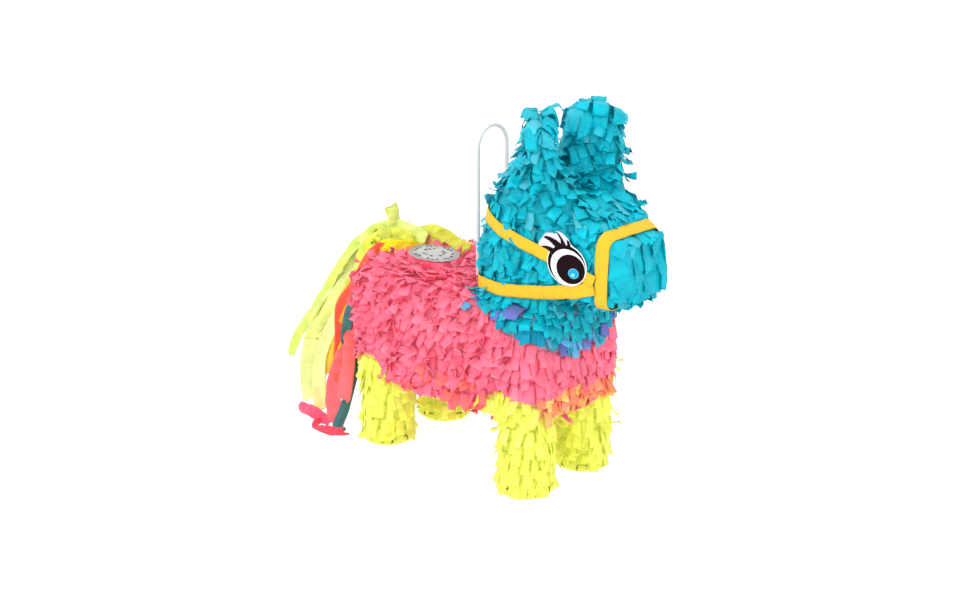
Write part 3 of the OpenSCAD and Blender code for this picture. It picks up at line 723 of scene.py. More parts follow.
# ---- the legs' yellow climbing over the carton corners, and the coral row over the front legs
tLeg = {k: Tabs(40 + i) for i, k in enumerate(LEGS)}
for zr in (97, 108):
    P = walk(ring(f_body, (0, 0), zr, 200), 7.9, rngB)
    P = P[(P[:, 2] - 5 < leg_zone(P)) & (np.abs(P[:, 0]) > 55)]
    for k, c in LEGS.items():
        m = (np.sign(P[:, 0]) == np.sign(c[0])) & (np.sign(P[:, 1]) == np.sign(c[1]))
        tLeg[k].add(P[m], down(P[m]), f_body, YEL, L=17, lift=2.4, wild=0.08, yaw=12, vary=0.05)
P = walk(ring(f_body, (0, 0), 92, 200), 8.6, rngB)
P = P[(P[:, 0] > 100) & (np.abs(P[:, 1]) < 60)]
tC.add(P, down(P), f_body, ORANGE * 0.7 + YEL * 0.3, L=15, lift=2.2, wild=0.05, yaw=6, w=9.4)
P = walk(ring(f_body, (0, 0), 92, 200), 8.6, rngB)
for k, m in body_split(P).items():
    if k != "chest":
        mm = (m & (np.abs(P[:, 0]) < 68)) | (m & (k == "rump") & (np.abs(P[:, 1]) < 60))
        pal = np.where(rngB.uniform(0, 1, (mm.sum(), 1)) < 0.3, CORAL, PINK)
        PIECE[k].add(P[mm], down(P[mm]), f_body, pal, L=16, lift=3.6, wild=0.25, yaw=16)

# ---- legs
for k, c in LEGS.items():
    F = f_leg(c)
    rng = np.random.default_rng(60 + list(LEGS).index(k))
    t = tLeg[k]
    for zr in (88, 74, 60, 46, 32, 19):
        P = walk(ring(F, c, zr, 60), 8.3, rng)
        P[:, 2] += rng.normal(0, 1.8, len(P))
        t.add(P, down(P), F, YEL, L=19 if zr > 25 else 15, w=9.0, lift=3.2, wild=0.09, yaw=9, vary=0.05, twist=12)
    # the last tabs are folded in a little under the foot
    P = walk(ring(F, c, 7.5, 60), 9.0, rng)
    inw = unit(np.stack([c[0] - P[:, 0], c[1] - P[:, 1], np.zeros(len(P))], 1))
    t.add(P, down(P) * 0.5 + inw, F, YEL, L=8.5, lift=0.6, wild=0.0, yaw=8, droop=0.0, curl=0.2, twist=3, h0=0.5)

# ---- neck and head, turquoise
tHR, tHL, tN, tF, tM, tK = Tabs(71), Tabs(72), Tabs(73), Tabs(74), Tabs(75, 5, 8, 0.3), Tabs(76)  # right, left, nape, forehead, muzzle, collar
rngH = np.random.default_rng(12)


def head_split(P):
    n = grad(f_head, P)
    nape = (n[:, 0] < -0.72) & (P[:, 0] < 80)
    return {"nape": nape, "right": ~nape & (P[:, 1] < 0), "left": ~nape & (P[:, 1] >= 0)}


HP = {"nape": tN, "right": tHR, "left": tHL}
NECK = np.array([[41, 150], [117, 150], [117, 240], [42.5, 240]], float)


def f_neck(p):
    """Body and neck without the overhanging muzzle."""
    return smin(f_body(p), round_both(sd_poly(p[:, 0], p[:, 2], NECK) - 4.6, (np.abs(p[:, 1]) - half_at(p[:, 0])) - 4.6, 15.5), 8.0)


def neck_ring(lift_k):
    """Closed row round the neck and chest; lift_k is 0 at the skirt's edge and 1 at the cheek strap."""
    th = np.linspace(-math.pi, math.pi, 540, endpoint=False)
    x = 80 + 50 * np.cos(th); y = 66 * np.sin(th)
    t = np.clip((x - 40) / 8, 0, 1)
    z0 = 201.0 * (1 - t) + (skirt(x, y) + 12) * t
    z0 = np.convolve(np.concatenate([z0[-16:], z0, z0[:16]]), np.ones(17) / 17, "same")[16:-16]
    z = z0 * (1 - lift_k) + 212.0 * lift_k
    o = np.stack([np.full(540, 80.0), np.zeros(540), z], 1)
    d = np.stack([np.cos(th), np.sin(th), np.zeros(540)], 1)
    return rays(o, d, f_neck, 140)[0]


under = np.array([LILAC, LBLUE, TEAL, TURQ * 0.8])
for i, lk in enumerate([0.0, 0.2, 0.42, 0.64, 0.86]):
    P = walk(neck_ring(lk), 8.4, rngH)
    P = P[~((P[:, 0] < 44) & (np.abs(P[:, 1]) > 52))]
    P[:, 2] += rngH.normal(0, 1.6, len(P))
    if i == 0:
        tK.add(P, down(P), f_all, under[rngH.choice(4, len(P), p=[0.08, 0.30, 0.36, 0.26])], L=17, w=10.5, lift=2.2, wild=0.04, yaw=9, twist=8)
        continue
    for k, m in head_split(P).items():
        HP[k].add(P[m], down(P[m]), f_all, TURQ, L=15.5, w=9.6, lift=3.2, wild=0.14 if k != "nape" else 0.06, yaw=13, twist=14)
patches = snap(f_all, np.array([[101, -56, 181], [125, 34, 160], [44, -70, 188]], float), 6)
tK.add(patches[1:2], down(patches[1:2]), f_all, LILAC, L=12, w=10, lift=4.4, wild=0.0, yaw=8, twist=4, h0=3.8, vary=0.02)
tK.add(patches[:1], down(patches[:1]), f_all, LILAC, L=18, w=17, lift=4.4, wild=0.0, yaw=8, twist=4, curl=0.3, cup=0.004, h0=3.8, vary=0.02)
tK.add(patches[2:], down(patches[2:]), f_all, LBLUE, L=12, w=10, lift=5.0, wild=0.0, yaw=8, twist=6, curl=0.3, cup=0.01, h0=3.6, vary=0.02)
for zr in [221, 231, 241, 251, 261, 271, 280, 289]:
    P = walk(ring(f_head, (90, 0), zr, 200), 8.3, rngH)
    P[:, 2] += rngH.normal(0, 2.4, len(P))
    P = snap(f_top, P, 4)
    P = P[(P[:, 0] < 171) & (P[:, 2] < 303)]
    f = down(P) + 0.3 * rngH.normal(0, 1, (len(P), 3)) * [1, 0, 0]
    for k, m in head_split(P).items():
        HP[k].add(P[m], f[m], f_top, TURQ, L=15.5, w=9.8, lift=3.8, wild=0.22 if k != "nape" else 0.08, yaw=20, twist=19, curl=1.4, lat=0.1)
# crown and forehead rows run across and lie forward
for xr in np.arange(60, 172, 9.5):
    yy = np.arange(-50, 51, 8.0)
    xy = np.stack([xr + rngH.normal(0, 2.2, len(yy)), yy + rngH.normal(0, 1.2, len(yy))], 1)
    P = drop(f_head, xy, 400, 240)
    n = grad(f_head, P)
    P = P[(n[:, 2] > 0.30) & (f_ear(P, 1) > 0) & (f_ear(P, -1) > 0)]
    if not len(P):
        continue
    side = np.sign(P[:, 1:2]) * np.array([[0, 0.45, 0]]) * (np.abs(P[:, 1:2]) > 20)
    f = np.tile([1.0, 0, -0.2], (len(P), 1)) * (1 if xr > 66 else -1) + side
    calm = xr > 130
    tF.add(P, f, f_top, TURQ, L=20 if calm else 15, w=13.0 if calm else 9.0, lift=2.0 if calm else 4.8, wild=0.05 if calm else 0.34,
           yaw=15 if calm else 30, twist=8 if calm else 22, droop=0.1)

# ---- muzzle: larger smooth patches, then a ragged lower edge
for zr, L, w, lf, x0 in ((262, 30, 28, 0.9, 182), (250, 32, 27, 1.0, 184), (237, 27, 25, 1.4, 186)):
    P = walk(ring(f_head, (150, 0), zr, 90), w * 0.8, rngH, jitter=0.08)
    P = P[P[:, 0] > x0]
    tM.add(P, down(P), f_head, TURQ * 0.97, L=L, w=w, lift=lf, wild=0.0, yaw=7, twist=3, curl=0.25, cup=0.003, h0=0.5, vary=0.04)
# the lower of these two rows is tinted darker (0.92) as painted shade under the muzzle
for zr, L, w, lf, x0 in ((226, 14, 11.0, 2.4, 188), (216, 13, 9.6, 3.0, 183)):
    P = walk(ring(f_head, (150, 0), zr, 90), w * 0.9, rngH)
    P[:, 2] += rngH.normal(0, 2, len(P))
    P = P[P[:, 0] > x0]
    tM.add(P, down(P), f_head, TURQ * (1 if zr > 220 else 0.92), L=L, w=w, lift=lf, wild=0.2, yaw=16, twist=14, curl=1.2)
for xr in (184, 192):
    yy = np.arange(-34, 35, 14.0) + 3 * (xr > 185)
    xy = np.stack([xr + rngH.normal(0, 1.0, len(yy)), yy + rngH.normal(0, 1.5, len(yy))], 1)
    P = drop(f_head, xy, 400, 240)
    if len(P):
        tM.add(P, np.tile([1.0, 0, -0.3], (len(P), 1)), f_head, TURQ, L=20, w=19, lift=1.0, wild=0.0, yaw=16, twist=4, curl=0.3, cup=0.005, h0=0.5)
# jaw and throat, seen from below; their tabs are tinted darker as painted shade under the head
for xr in (128, 139, 150, 161, 172, 183, 190):
    yy = np.arange(-40, 41, 9.0)
    o = np.stack([np.full(len(yy), float(xr)), yy, np.full(len(yy), 240.0)], 1)
    P, ok = rays(o, np.tile([0, 0, -1.0], (len(yy), 1)), f_head, 80)
    P = P[ok & (np.abs(P[:, 1]) < half_at(P[:, 0]) - 4)]
    f = np.tile([-0.5, 0, -0.6], (len(P), 1)) if xr < 180 else np.tile([0.2, 0, -1.0], (len(P), 1))
    tM.add(P, f, f_head, TURQ * 0.9, L=12 if xr < 180 else 9, w=9, lift=2.6, wild=0.2, yaw=16, droop=0.5)

# ---- ears
tE = {1: Tabs(81), -1: Tabs(82)}
tEt = {1: Tabs(83, 4, 8, 0.35), -1: Tabs(84, 4, 8, 0.35)}
c45 = math.sqrt(0.5)


def ear_point(s, u, v, h):
    """World point of ear coordinates."""
    return np.stack([105 + u * c45 - v * s * c45, s * 40 + u * s * c45 + v * c45, 298 + h], -1)


for s in (1, -1):
    rng = np.random.default_rng(90 + s)
    FE = lambda p, s=s: f_ear(p, s)
    for hz in (12, 22, 32, 42, 51, 59):
        P = walk(ring(FE, (105, s * 40), 298 + hz, 60), 8.0, rng)
        P[:, 2] += rng.normal(0, 2.0, len(P))
        P = snap(FE, P, 3)
        f = down(P) + 0.35 * rng.normal(0, 1, (len(P), 3)) * [1, 1, 0]
        keep = f_head(P) > -1
        hi = hz > 36
        tE[s].add(P[keep], f[keep], f_top, TURQ, L=14.5, w=9.6, lift=2.9 if hi else 4.2, wild=0.08 if hi else 0.26, yaw=14 if hi else 20, twist=13 if hi else 20, curl=1.2, lat=0.1)
    # rim rows and the long patches that come down from the tip
    for hz, wd, L in ((66, 11, 17), (71, 14, 24)):
        P = walk(ring(FE, (105, s * 40), 298 + hz, 60), wd * 0.8, rng)
        P = snap(FE, P, 3)
        tEt[s].add(P, down(P), f_top, TURQ, L=L, w=wd, lift=2.2, wild=0.03, yaw=10, twist=8, curl=0.6, cup=0.01)
    u = np.linspace(-15, 15, 4) + rng.normal(0, 1.0, 4)
    for sg in (1, -1):
        P = snap(FE, ear_point(s, u, np.full(4, sg * 1.2), 52.0 + np.sqrt(24.0 ** 2 - u * u)), 5)
        f = ear_point(s, u * 0 + u / 12, np.full(4, sg * 4.0), np.zeros(4)) - ear_point(s, u * 0, u * 0, u * 0)
        f[:, 2] = -2.5
        tEt[s].add(P, f, f_top, TURQ, L=26 if sg == s * -1 else 22, w=15, lift=2.0, wild=0.12, yaw=12, twist=8, curl=0.7, cup=0.012)


def tissue(name, t, mat, replaces=(), body="carcass"):
    me = t.mesh(name)
    print(name, t.count(), len(me.polygons))
    return new_object(name, me, mat, body, replaces)


tissue("flank_tissue_right", tR, MAT_PINK, ["flank_fringe_right"])
tissue("flank_tissue_left", tL, MAT_PINK, ["flank_fringe_left"])
tissue("chest_tissue", tC, MAT_PINK, ["chest_fringe"])
tissue("rump_tissue", tU, MAT_PINK, ["rump_fringe"])
tissue("back_tissue", tT, MAT_PINK, ["back_fringe"])
tissue("belly_tissue", tV, MAT_PINK, ["belly_fringe"])
for k in LEGS:
    tissue("leg_tissue_" + k, tLeg[k], MAT_YEL, ["leg_fringe_" + k])
tissue("collar_tissue", tK, MAT_TURQ, ["collar_fringe"])
tissue("head_tissue_right", tHR, MAT_TURQ, ["head_fringe_right"])
tissue("head_tissue_left", tHL, MAT_TURQ, ["head_fringe_left"])
tissue("nape_tissue", tN, MAT_TURQ, ["nape_fringe"])
tissue("forehead_tissue", tF, MAT_TURQ, ["forehead_fringe"])
tissue("muzzle_tissue", tM, MAT_TURQ, ["muzzle_fringe"])
for s, nm in ((1, "left"), (-1, "right")):
    tissue("ear_tissue_" + nm, tE[s], MAT_TURQ, ["ear_fringe_" + nm])
    tissue("ear_tip_tissue_" + nm, tEt[s], MAT_TURQ)

# ---- the smooth paper beneath, tinted a little darker than the tabs as painted shade in the gaps between them
base_surface("body_paper", f_body, [(-122, 122, -68, 68, 82, 188)], 4.0, MAT_PINK,
             lambda Q: np.where(((Q[:, 2] < leg_zone(Q) - 2))[:, None], YEL * 0.9, np.where(((Q[:, 0] > 40) & (Q[:, 2] > skirt(Q[:, 0], Q[:, 1])))[:, None], TURQ * 0.9, PINK * 0.92)),
             holes=[(*FILL, 180, 200)])
EAR_BOXES = [(105 + u * 0.7071 - 6.0, 105 + u * 0.7071 + 6.0, s * (40 + u * 0.7071) - 6.0, s * (40 + u * 0.7071) + 6.0, 284,
              298 + 52 + math.sqrt(23.0 ** 2 - u * u) - 2.5) for s in (1, -1) for u in np.arange(-20, 21, 4.0)]
base_surface("head_paper", f_top, [(46, 112, -46, 46, 176, 292), (90, 186, -34, 34, 210, 270), (100, 140, -42, 42, 210, 290), (77, 134, -51, 51, 240, 299),
                                    (120, 160, -42, 42, 215, 282), (84, 128, 22, 57, 284, 311), (84, 128, -57, -22, 284, 311)] + EAR_BOXES, 3.4, MAT_TURQ, TURQ * 0.92, shell=0)
for k, c in LEGS.items():
    base_surface("leg_paper_" + k, f_leg(c), [(c[0] - 22, c[0] + 22, c[1] - 22, c[1] + 22, 8, 124)], 3.4, MAT_YEL, YEL * 0.95, shell=0)


# ------------------------------------------------------------------ more materials
def paint(name, color=None, rough=0.5, metal=0.0, bump=0.0, scale=200.0, painted_glow=0.0, mottle=0.06, voronoi=False, spec=0.2):
    """Plain finish; with no colour it reads the mesh's tint."""
    m, nt, p = nodes_of(name)
    tc = add(nt, "ShaderNodeTexCoord")
    n1 = add(nt, "ShaderNodeTexNoise"); n1.inputs["Scale"].default_value = scale * 0.3; n1.inputs["Detail"].default_value = 3
    nt.links.new(tc.outputs["Object"], n1.inputs["Vector"])
    r = add(nt, "ShaderNodeMapRange"); r.inputs["From Min"].default_value = 0.3; r.inputs["From Max"].default_value = 0.7
    r.inputs["To Min"].default_value = 1 - mottle; r.inputs["To Max"].default_value = 1 + mottle
    nt.links.new(n1.outputs["Fac"], r.inputs["Value"])
    mul = add(nt, "ShaderNodeVectorMath", operation="SCALE")
    if color is None:
        at = add(nt, "ShaderNodeAttribute", attribute_name="tint")
        nt.links.new(at.outputs["Color"], mul.inputs[0])
    else:
        mul.inputs[0].default_value = tuple(color)
    nt.links.new(r.outputs[0], mul.inputs["Scale"])
    nt.links.new(mul.outputs[0], p.inputs["Base Color"])
    p.inputs["Roughness"].default_value = rough
    p.inputs["Metallic"].default_value = metal
    p.inputs["Specular IOR Level"].default_value = spec
    if bump:
        if voronoi:
            t = add(nt, "ShaderNodeTexVoronoi", feature="F1"); out = "Distance"
        else:
            t = add(nt, "ShaderNodeTexNoise"); out = "Fac"
        t.inputs["Scale"].default_value = scale
        nt.links.new(tc.outputs["Object"], t.inputs["Vector"])
        b = add(nt, "ShaderNodeBump"); b.inputs["Strength"].default_value = bump; b.inputs["Distance"].default_value = 0.0008
        nt.links.new(t.outputs[out], b.inputs["Height"]); nt.links.new(b.outputs[0], p.inputs["Normal"])
    # painted light: the finish glows in its own colour (white when it reads the tint), so it looks lit in its shaded
    # parts
    if painted_glow:
        p.inputs["Emission Color"].default_value = (*(color if color is not None else (1, 1, 1)), 1)
        p.inputs["Emission Strength"].default_value = painted_glow
    return m


STRAP = lin("#E8B82A")
MAT_STRAP = paint("halter_paper", STRAP, rough=0.5, bump=0.12, scale=900, mottle=0.04)
MAT_PRINT = paint("printed_paper", None, rough=0.4, mottle=0.01, spec=0.06)
MAT_FOIL = paint("foil", None, rough=0.36, metal=0.6, bump=0.22, scale=170, mottle=0.07, voronoi=True, spec=0.4)
# the cord's glow is painted light that keeps its shaded edges white
MAT_CORD = paint("white_cord", (0.66, 0.66, 0.67), rough=0.6, mottle=0.02, painted_glow=0.12)
MAT_KRAFT = paint("kraft_board", lin("#B98F62"), rough=0.85, bump=0.25, scale=700, mottle=0.12)
MAT_STREAM = tissue_material("tissue_streamer", rough=0.55, painted_glow=0.0, soft=0.3)
for n in MAT_STREAM.node_tree.nodes:
    if n.type == "BSDF_PRINCIPLED":
        n.inputs["Sheen Weight"].default_value = 0.3
# the glow of these plain tissues is painted light that lifts their shade
MAT_PINK_PLAIN = paint("tissue_pink_plain", PINK, rough=0.7, bump=0.5, scale=260, mottle=0.12, painted_glow=0.14)
MAT_YEL_PLAIN = paint("tissue_yellow_plain", YEL, rough=0.7, bump=0.4, scale=260, mottle=0.1, painted_glow=0.1)


def ribbon_mesh(name, P, S, N, width, thick, cols=6, closed=False, wave=None, F=None, lift=0.0, tint=None, ends=None):
    """Closed strip: P centre line, S across, N out, all (n, 3)."""
    n = len(P)
    us = np.linspace(-0.5, 0.5, cols + 1)
    wd = np.broadcast_to(width, n)
    G = P[:, None] + S[:, None] * (us[None, :, None] * wd[:, None, None])
    if wave is not None:
        G = G + N[:, None] * wave[..., None]
    if ends is not None:
        T = np.gradient(P, axis=0); T = unit(T)
        G[0] += T[0] * ends[0][:, None]
        G[-1] += T[-1] * ends[1][:, None]
    NN = np.repeat(N[:, None], cols + 1, 1)
    if F is not None:
        flat = G.reshape(-1, 3)
        L = (np.broadcast_to(lift, (n,)) if np.ndim(lift) < 2 else lift)
        L = np.repeat(L[:, None], cols + 1, 1).ravel() if L.ndim == 1 else L.ravel()
        for _ in range(3):
            g = grad(F, flat)
            flat = flat - g * (F(flat) - L)[:, None]
        G = flat.reshape(G.shape)
        NN = grad(F, flat).reshape(G.shape)
    K = n * (cols + 1)
    top, bot = (G + NN * thick / 2).reshape(-1, 3), (G - NN * thick / 2).reshape(-1, 3)
    idx = np.arange(K).reshape(n, cols + 1)
    nxt = np.roll(idx, -1, 0) if closed else idx[1:]
    cur = idx if closed else idx[:-1]
    q = np.stack([cur[:, :-1], cur[:, 1:], nxt[:, 1:], nxt[:, :-1]], -1).reshape(-1, 4)
    rims = [np.stack([nxt[:, 0], nxt[:, 0] + K, cur[:, 0] + K, cur[:, 0]], -1), np.stack([cur[:, -1], cur[:, -1] + K, nxt[:, -1] + K, nxt[:, -1]], -1)]
    if not closed:
        rims.append(np.stack([idx[0, :-1], idx[0, :-1] + K, idx[0, 1:] + K, idx[0, 1:]], -1))
        rims.append(np.stack([idx[-1, 1:], idx[-1, 1:] + K, idx[-1, :-1] + K, idx[-1, :-1]], -1))
    rim = np.concatenate(rims)
    faces = np.concatenate([q, q[:, ::-1] + K, rim])
    sm = np.concatenate([np.ones(len(q) * 2, bool), np.zeros(len(rim), bool)])
    me = raw_mesh(name, W(np.concatenate([top, bot])), faces, sm)
    bm = bmesh.new(); bm.from_mesh(me); bmesh.ops.recalc_face_normals(bm, faces=bm.faces); bm.to_mesh(me); bm.free()
    if tint is not None:
        col = np.asarray(tint, float)
        col = np.tile(col, (2 * K, 1)) if col.ndim == 1 else np.concatenate([np.repeat(col, cols + 1, 0)] * 2)
        set_color(me, "tint", col)
        set_float(me, "along", np.full(2 * K, 0.85))
    return me


def strap(name, path, width, lift, seed, closed=False, replaces=(), start_lift=None):
    rng = np.random.default_rng(seed)
    P = np.asarray(path)
    if closed:
        T = unit(np.roll(P, -1, 0) - np.roll(P, 1, 0))
    else:
        s = np.concatenate([[0], np.cumsum(np.linalg.norm(np.diff(P, axis=0), axis=1))])
        t = np.linspace(0, s[-1], max(int(s[-1] / 2.2), 12))
        P = np.stack([np.interp(t, s, P[:, i]) for i in range(3)], 1)
        for _ in range(6):
            P[1:-1] = 0.5 * P[1:-1] + 0.25 * (P[2:] + P[:-2])
        T = unit(np.gradient(P, axis=0))
    N = grad(f_head, P)
    S = unit(np.cross(N, T))
    n = len(P)
    ph = rng.uniform(0, 6.28, 4)
    k = np.arange(n) / n * (2 * math.pi)
    L = lift + 0.35 * np.sin(k * 5 + ph[0]) + 0.25 * np.sin(k * 11 + ph[1])
    me = ribbon_mesh(name, P, S, N, width, 0.5, cols=6, closed=closed, F=f_head, lift=L)
    return new_object(name, me, MAT_STRAP, "carcass", replaces)


for s, nm in ((1, "left"), (-1, "right")):
    strap("cheek_strap_paper_" + nm, cheek_path[s], 12.6, 4.3, 200 + s, replaces=["cheek_strap_" + nm])
strap("crown_strap_paper", crown_path, 12.0, 4.9, 210, replaces=["crown_strap"])
strap("noseband_paper", nose_path, 12.4, 2.8, 220, closed=True, replaces=["noseband"])


# ------------------------------------------------------------------ eyes
def ellipse(cx, cy, a, b, tilt, n=56):
    q = np.linspace(0, 2 * math.pi, n, endpoint=False)
    ct, st = math.cos(math.radians(tilt)), math.sin(math.radians(tilt))
    return np.stack([cx + a * np.cos(q) * ct - b * np.sin(q) * st, cy + a * np.cos(q) * st + b * np.sin(q) * ct], 1)


BLACK, WHITE = lin("#1A0A0E"), np.array([0.86, 0.86, 0.86])
EYE = [  # outline in (forward, up), colour, height above the card's back
    (ellipse(-0.1, -0.1, 20.9, 19.2, 146), WHITE, 0.50),
    (np.array([[-31, 13.9], [-29.5, 18], [-27, 21.7], [-22, 28.2], [-17.5, 30.6], [-12.4, 31], [-5.2, 29.1], [0.7, 25], [3.7, 20.4], [8, 17], [4, 8], [-10, 4], [-16, 8], [-24, 11]]), lin("#D9D6EA"), 0.52),
    (ellipse(-0.1, -0.1, 19.9, 18.2, 146), BLACK, 0.66),
    (np.array([[-28, 13.5], [-22.3, 14.9], [-17.6, 14.6], [-13, 13.6], [-10, 11], [-14, 7], [-17.5, 10.2], [-22.2, 12.3]]), BLACK, 0.66),
    (np.array([[-25.6, 22.5], [-22.4, 24.1], [-17.7, 23.9], [-11.4, 21.9], [-5.9, 19.2], [-4, 14], [-11, 12], [-12.7, 16.1], [-17.7, 19.7], [-22.4, 21.7]]), BLACK, 0.66),
    (np.array([[-12.4, 30.4], [-8.5, 28], [-4.7, 23.9], [-1.2, 19.0], [0, 14], [-5, 14], [-5.9, 18.6], [-6.9, 23.2], [-9.4, 26.7]]), BLACK, 0.66),
    (np.array([[-0.2, 23.8], [1.8, 22.8], [3.7, 19.4], [4, 14], [0, 14], [0.3, 18.8]]), BLACK, 0.66),
    (ellipse(1.5, -2.2, 18.4, 16.7, 146), WHITE, 0.74),
    (ellipse(4.4, -3.4, 14.6, 13.8, 159), BLACK, 0.82),
    (ellipse(7.5, -7.0, 5.3, 4.9, 0), lin("#7FB9D0"), 0.90),
    (ellipse(7.5, -7.0, 4.8, 4.4, 0), lin("#12A3D0"), 0.96),
    (ellipse(7.1, -8.4, 1.7, 1.5, 0), lin("#9FF2FF"), 1.02),
]


def eye(s, nm):
    bm = bmesh.new()
    layer = bm.verts.layers.float_color.new("tint")
    T = np.array([CT, -s * math.sin(TILT), 0.0])
    N = np.array([math.sin(TILT), s * CT, 0.0])
    for outline, color, h in EYE:
        a, b = outline[:, 0], outline[:, 1]
        area = 0.5 * np.sum(a * np.roll(b, -1) - b * np.roll(a, -1))
        if area < 0:
            a, b = a[::-1], b[::-1]
        bend = -0.0022 * (a ** 2) - 0.0012 * b ** 2
        rings = []
        for hh in (h, 0.0):
            pts = EYE_C[s] + T * a[:, None] + np.array([0, 0, 1.0]) * b[:, None] + N * (bend + hh)[:, None]
            vs = [bm.verts.new(Vector(p)) for p in W(pts)]
            for v in vs:
                v[layer] = (*color, 1)
            rings.append(vs)
        bm.faces.new(rings[0]); bm.faces.new(rings[1][::-1])
        for i in range(len(a)):
            j = (i + 1) % len(a)
            bm.faces.new((rings[0][i], rings[1][i], rings[1][j], rings[0][j]))
    bmesh.ops.triangulate(bm, faces=[f for f in bm.faces if len(f.verts) > 4])
    bmesh.ops.recalc_face_normals(bm, faces=bm.faces)
    me = bpy.data.meshes.new("eye_" + nm)
    bm.to_mesh(me); bm.free()
    return new_object("eye_" + nm, me, MAT_PRINT, "carcass", ["eye_sticker_" + nm])


eye(1, "left")
eye(-1, "right")

# ------------------------------------------------------------------ foil label over the fill flap
bm = bmesh.new()
layer = bm.verts.layers.float_color.new("tint")
rl = np.random.default_rng(5)
na, nr = 72, 9
ang = np.linspace(0, 2 * math.pi, na, endpoint=False)
phz = rl.uniform(0, 6.28, 6)


def label_point(r, t, h):
    x = -69.0 + 31.0 * r * np.sign(math.cos(t)) * abs(math.cos(t)) ** 0.92
    y = 18.5 * r * np.sign(math.sin(t)) * abs(math.sin(t)) ** 0.86
    z = 200.2 + 0.15 * y + 0.5 * math.sin(x * 0.22 + phz[0]) * math.sin(y * 0.31 + phz[1]) + 0.3 * math.sin(x * 0.5 + y * 0.6 + phz[2]) - 0.9 * max(r - 0.75, 0) * 3 * (0.6 + 0.4 * math.sin(3 * t + phz[3])) + h
    return W([x, y, z])


sheets = []
for h in (0.2, -0.2):
    rows = [[bm.verts.new(Vector(label_point(max(r / nr, 0.02), t, h))) for t in ang] for r in range(nr + 1)]
    for r, row in enumerate(rows):
        for k, v in enumerate(row):
            g = 0.30 if r == nr - 1 else 0.52
            v[layer] = (g, g, g * 1.01, 1)
    for r in range(nr):
        for k in range(na):
            j = (k + 1) % na
            bm.faces.new((rows[r][k], rows[r][j], rows[r + 1][j], rows[r + 1][k]))
    bm.faces.new(rows[0])
    sheets.append(rows[-1])
for k in range(na):
    j = (k + 1) % na
    bm.faces.new((sheets[0][k], sheets[0][j], sheets[1][j], sheets[1][k]))
for f in bm.faces:
    f.smooth = len(f.verts) == 4
# plain printed dashes in two bands, which stand for no letters
for band, count, span in ((0.70, 26, 2 * math.pi), (0.36, 13, 2 * math.pi)):
    for k in range(count):
        t0 = span * k / count
        if k % 4 == 3:
            continue
        a = [label_point(band + q * 0.11, t0 + w * 0.09 / band, 0.32) for q, w in ((0, 0), (1, 0), (1, 1), (0, 1))]
        b = [label_point(band + q * 0.11, t0 + w * 0.09 / band, 0.0) for q, w in ((0, 0), (1, 0), (1, 1), (0, 1))]
        va, vb = [bm.verts.new(Vector(p)) for p in a], [bm.verts.new(Vector(p)) for p in b]
        for v in va + vb:
            v[layer] = (0.05, 0.05, 0.06, 1)
        bm.faces.new(va); bm.faces.new(vb[::-1])
        for i in range(4):
            bm.faces.new((va[i], vb[i], vb[(i + 1) % 4], va[(i + 1) % 4]))
bmesh.ops.triangulate(bm, faces=[f for f in bm.faces if len(f.verts) > 4])
bmesh.ops.recalc_face_normals(bm, faces=bm.faces)
me = bpy.data.meshes.new("foil_label")
bm.to_mesh(me); bm.free()
new_object("foil_label", me, MAT_FOIL, "fill_door", ["fill_label"])

# ------------------------------------------------------------------ hanging loop
zs = np.linspace(187.5, 325, 46)
qa = np.linspace(0, math.pi, 27)[1:-1]
line = np.concatenate([np.stack([np.full(46, 12.0), np.full(46, -21.0), zs], 1),
                       np.stack([np.full(25, 12.0), -21 * np.cos(qa), 325 + 21 * np.sin(qa)], 1),
                       np.stack([np.full(46, 12.0), np.full(46, 21.0), zs[::-1]], 1)])
T = unit(np.gradient(line, axis=0))
U = np.tile([1.0, 0, 0], (len(line), 1))
V = unit(np.cross(T, U))
M = 14
kk = np.arange(M) * 2 * math.pi / M
tube = line[:, None] + 2.05 * (np.cos(kk)[None, :, None] * U[:, None] + np.sin(kk)[None, :, None] * V[:, None])
idx = np.arange(len(line) * M).reshape(len(line), M)
quads = np.stack([idx[:-1], np.roll(idx, -1, 1)[:-1], np.roll(idx, -1, 1)[1:], idx[1:]], -1).reshape(-1, 4)
nvt = len(line) * M
caps = [[nvt, idx[0, (k + 1) % M], idx[0, k]] for k in range(M)] + [[nvt + 1, idx[-1, k], idx[-1, (k + 1) % M]] for k in range(M)]
me = raw_mesh("loop_cord", W(np.concatenate([tube.reshape(-1, 3), line[:1], line[-1:]])), quads, np.ones(len(quads) + len(caps), bool), caps)
bm = bmesh.new(); bm.from_mesh(me); bmesh.ops.recalc_face_normals(bm, faces=bm.faces); bm.to_mesh(me); bm.free()
loop = new_object("loop_cord", me, MAT_CORD, None)
W([12.0, 0, 192.0])
W([12.0, 0, 206.0])
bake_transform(loop)
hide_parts("hanging_loop")
W(line[0])
[list(p) for p in W(line)]

# ------------------------------------------------------------------ tail and back streamers
PALE, LIME, GOLD, CORALS, REDO, SALMON, TEALG, ROSE, BRIGHT = (lin(h) for h in (
    "#E4EE98", "#D3E968", "#F0CF22", "#F9654A", "#F2503A", "#F96C72", "#467878", "#F2587A", "#EFE824"))


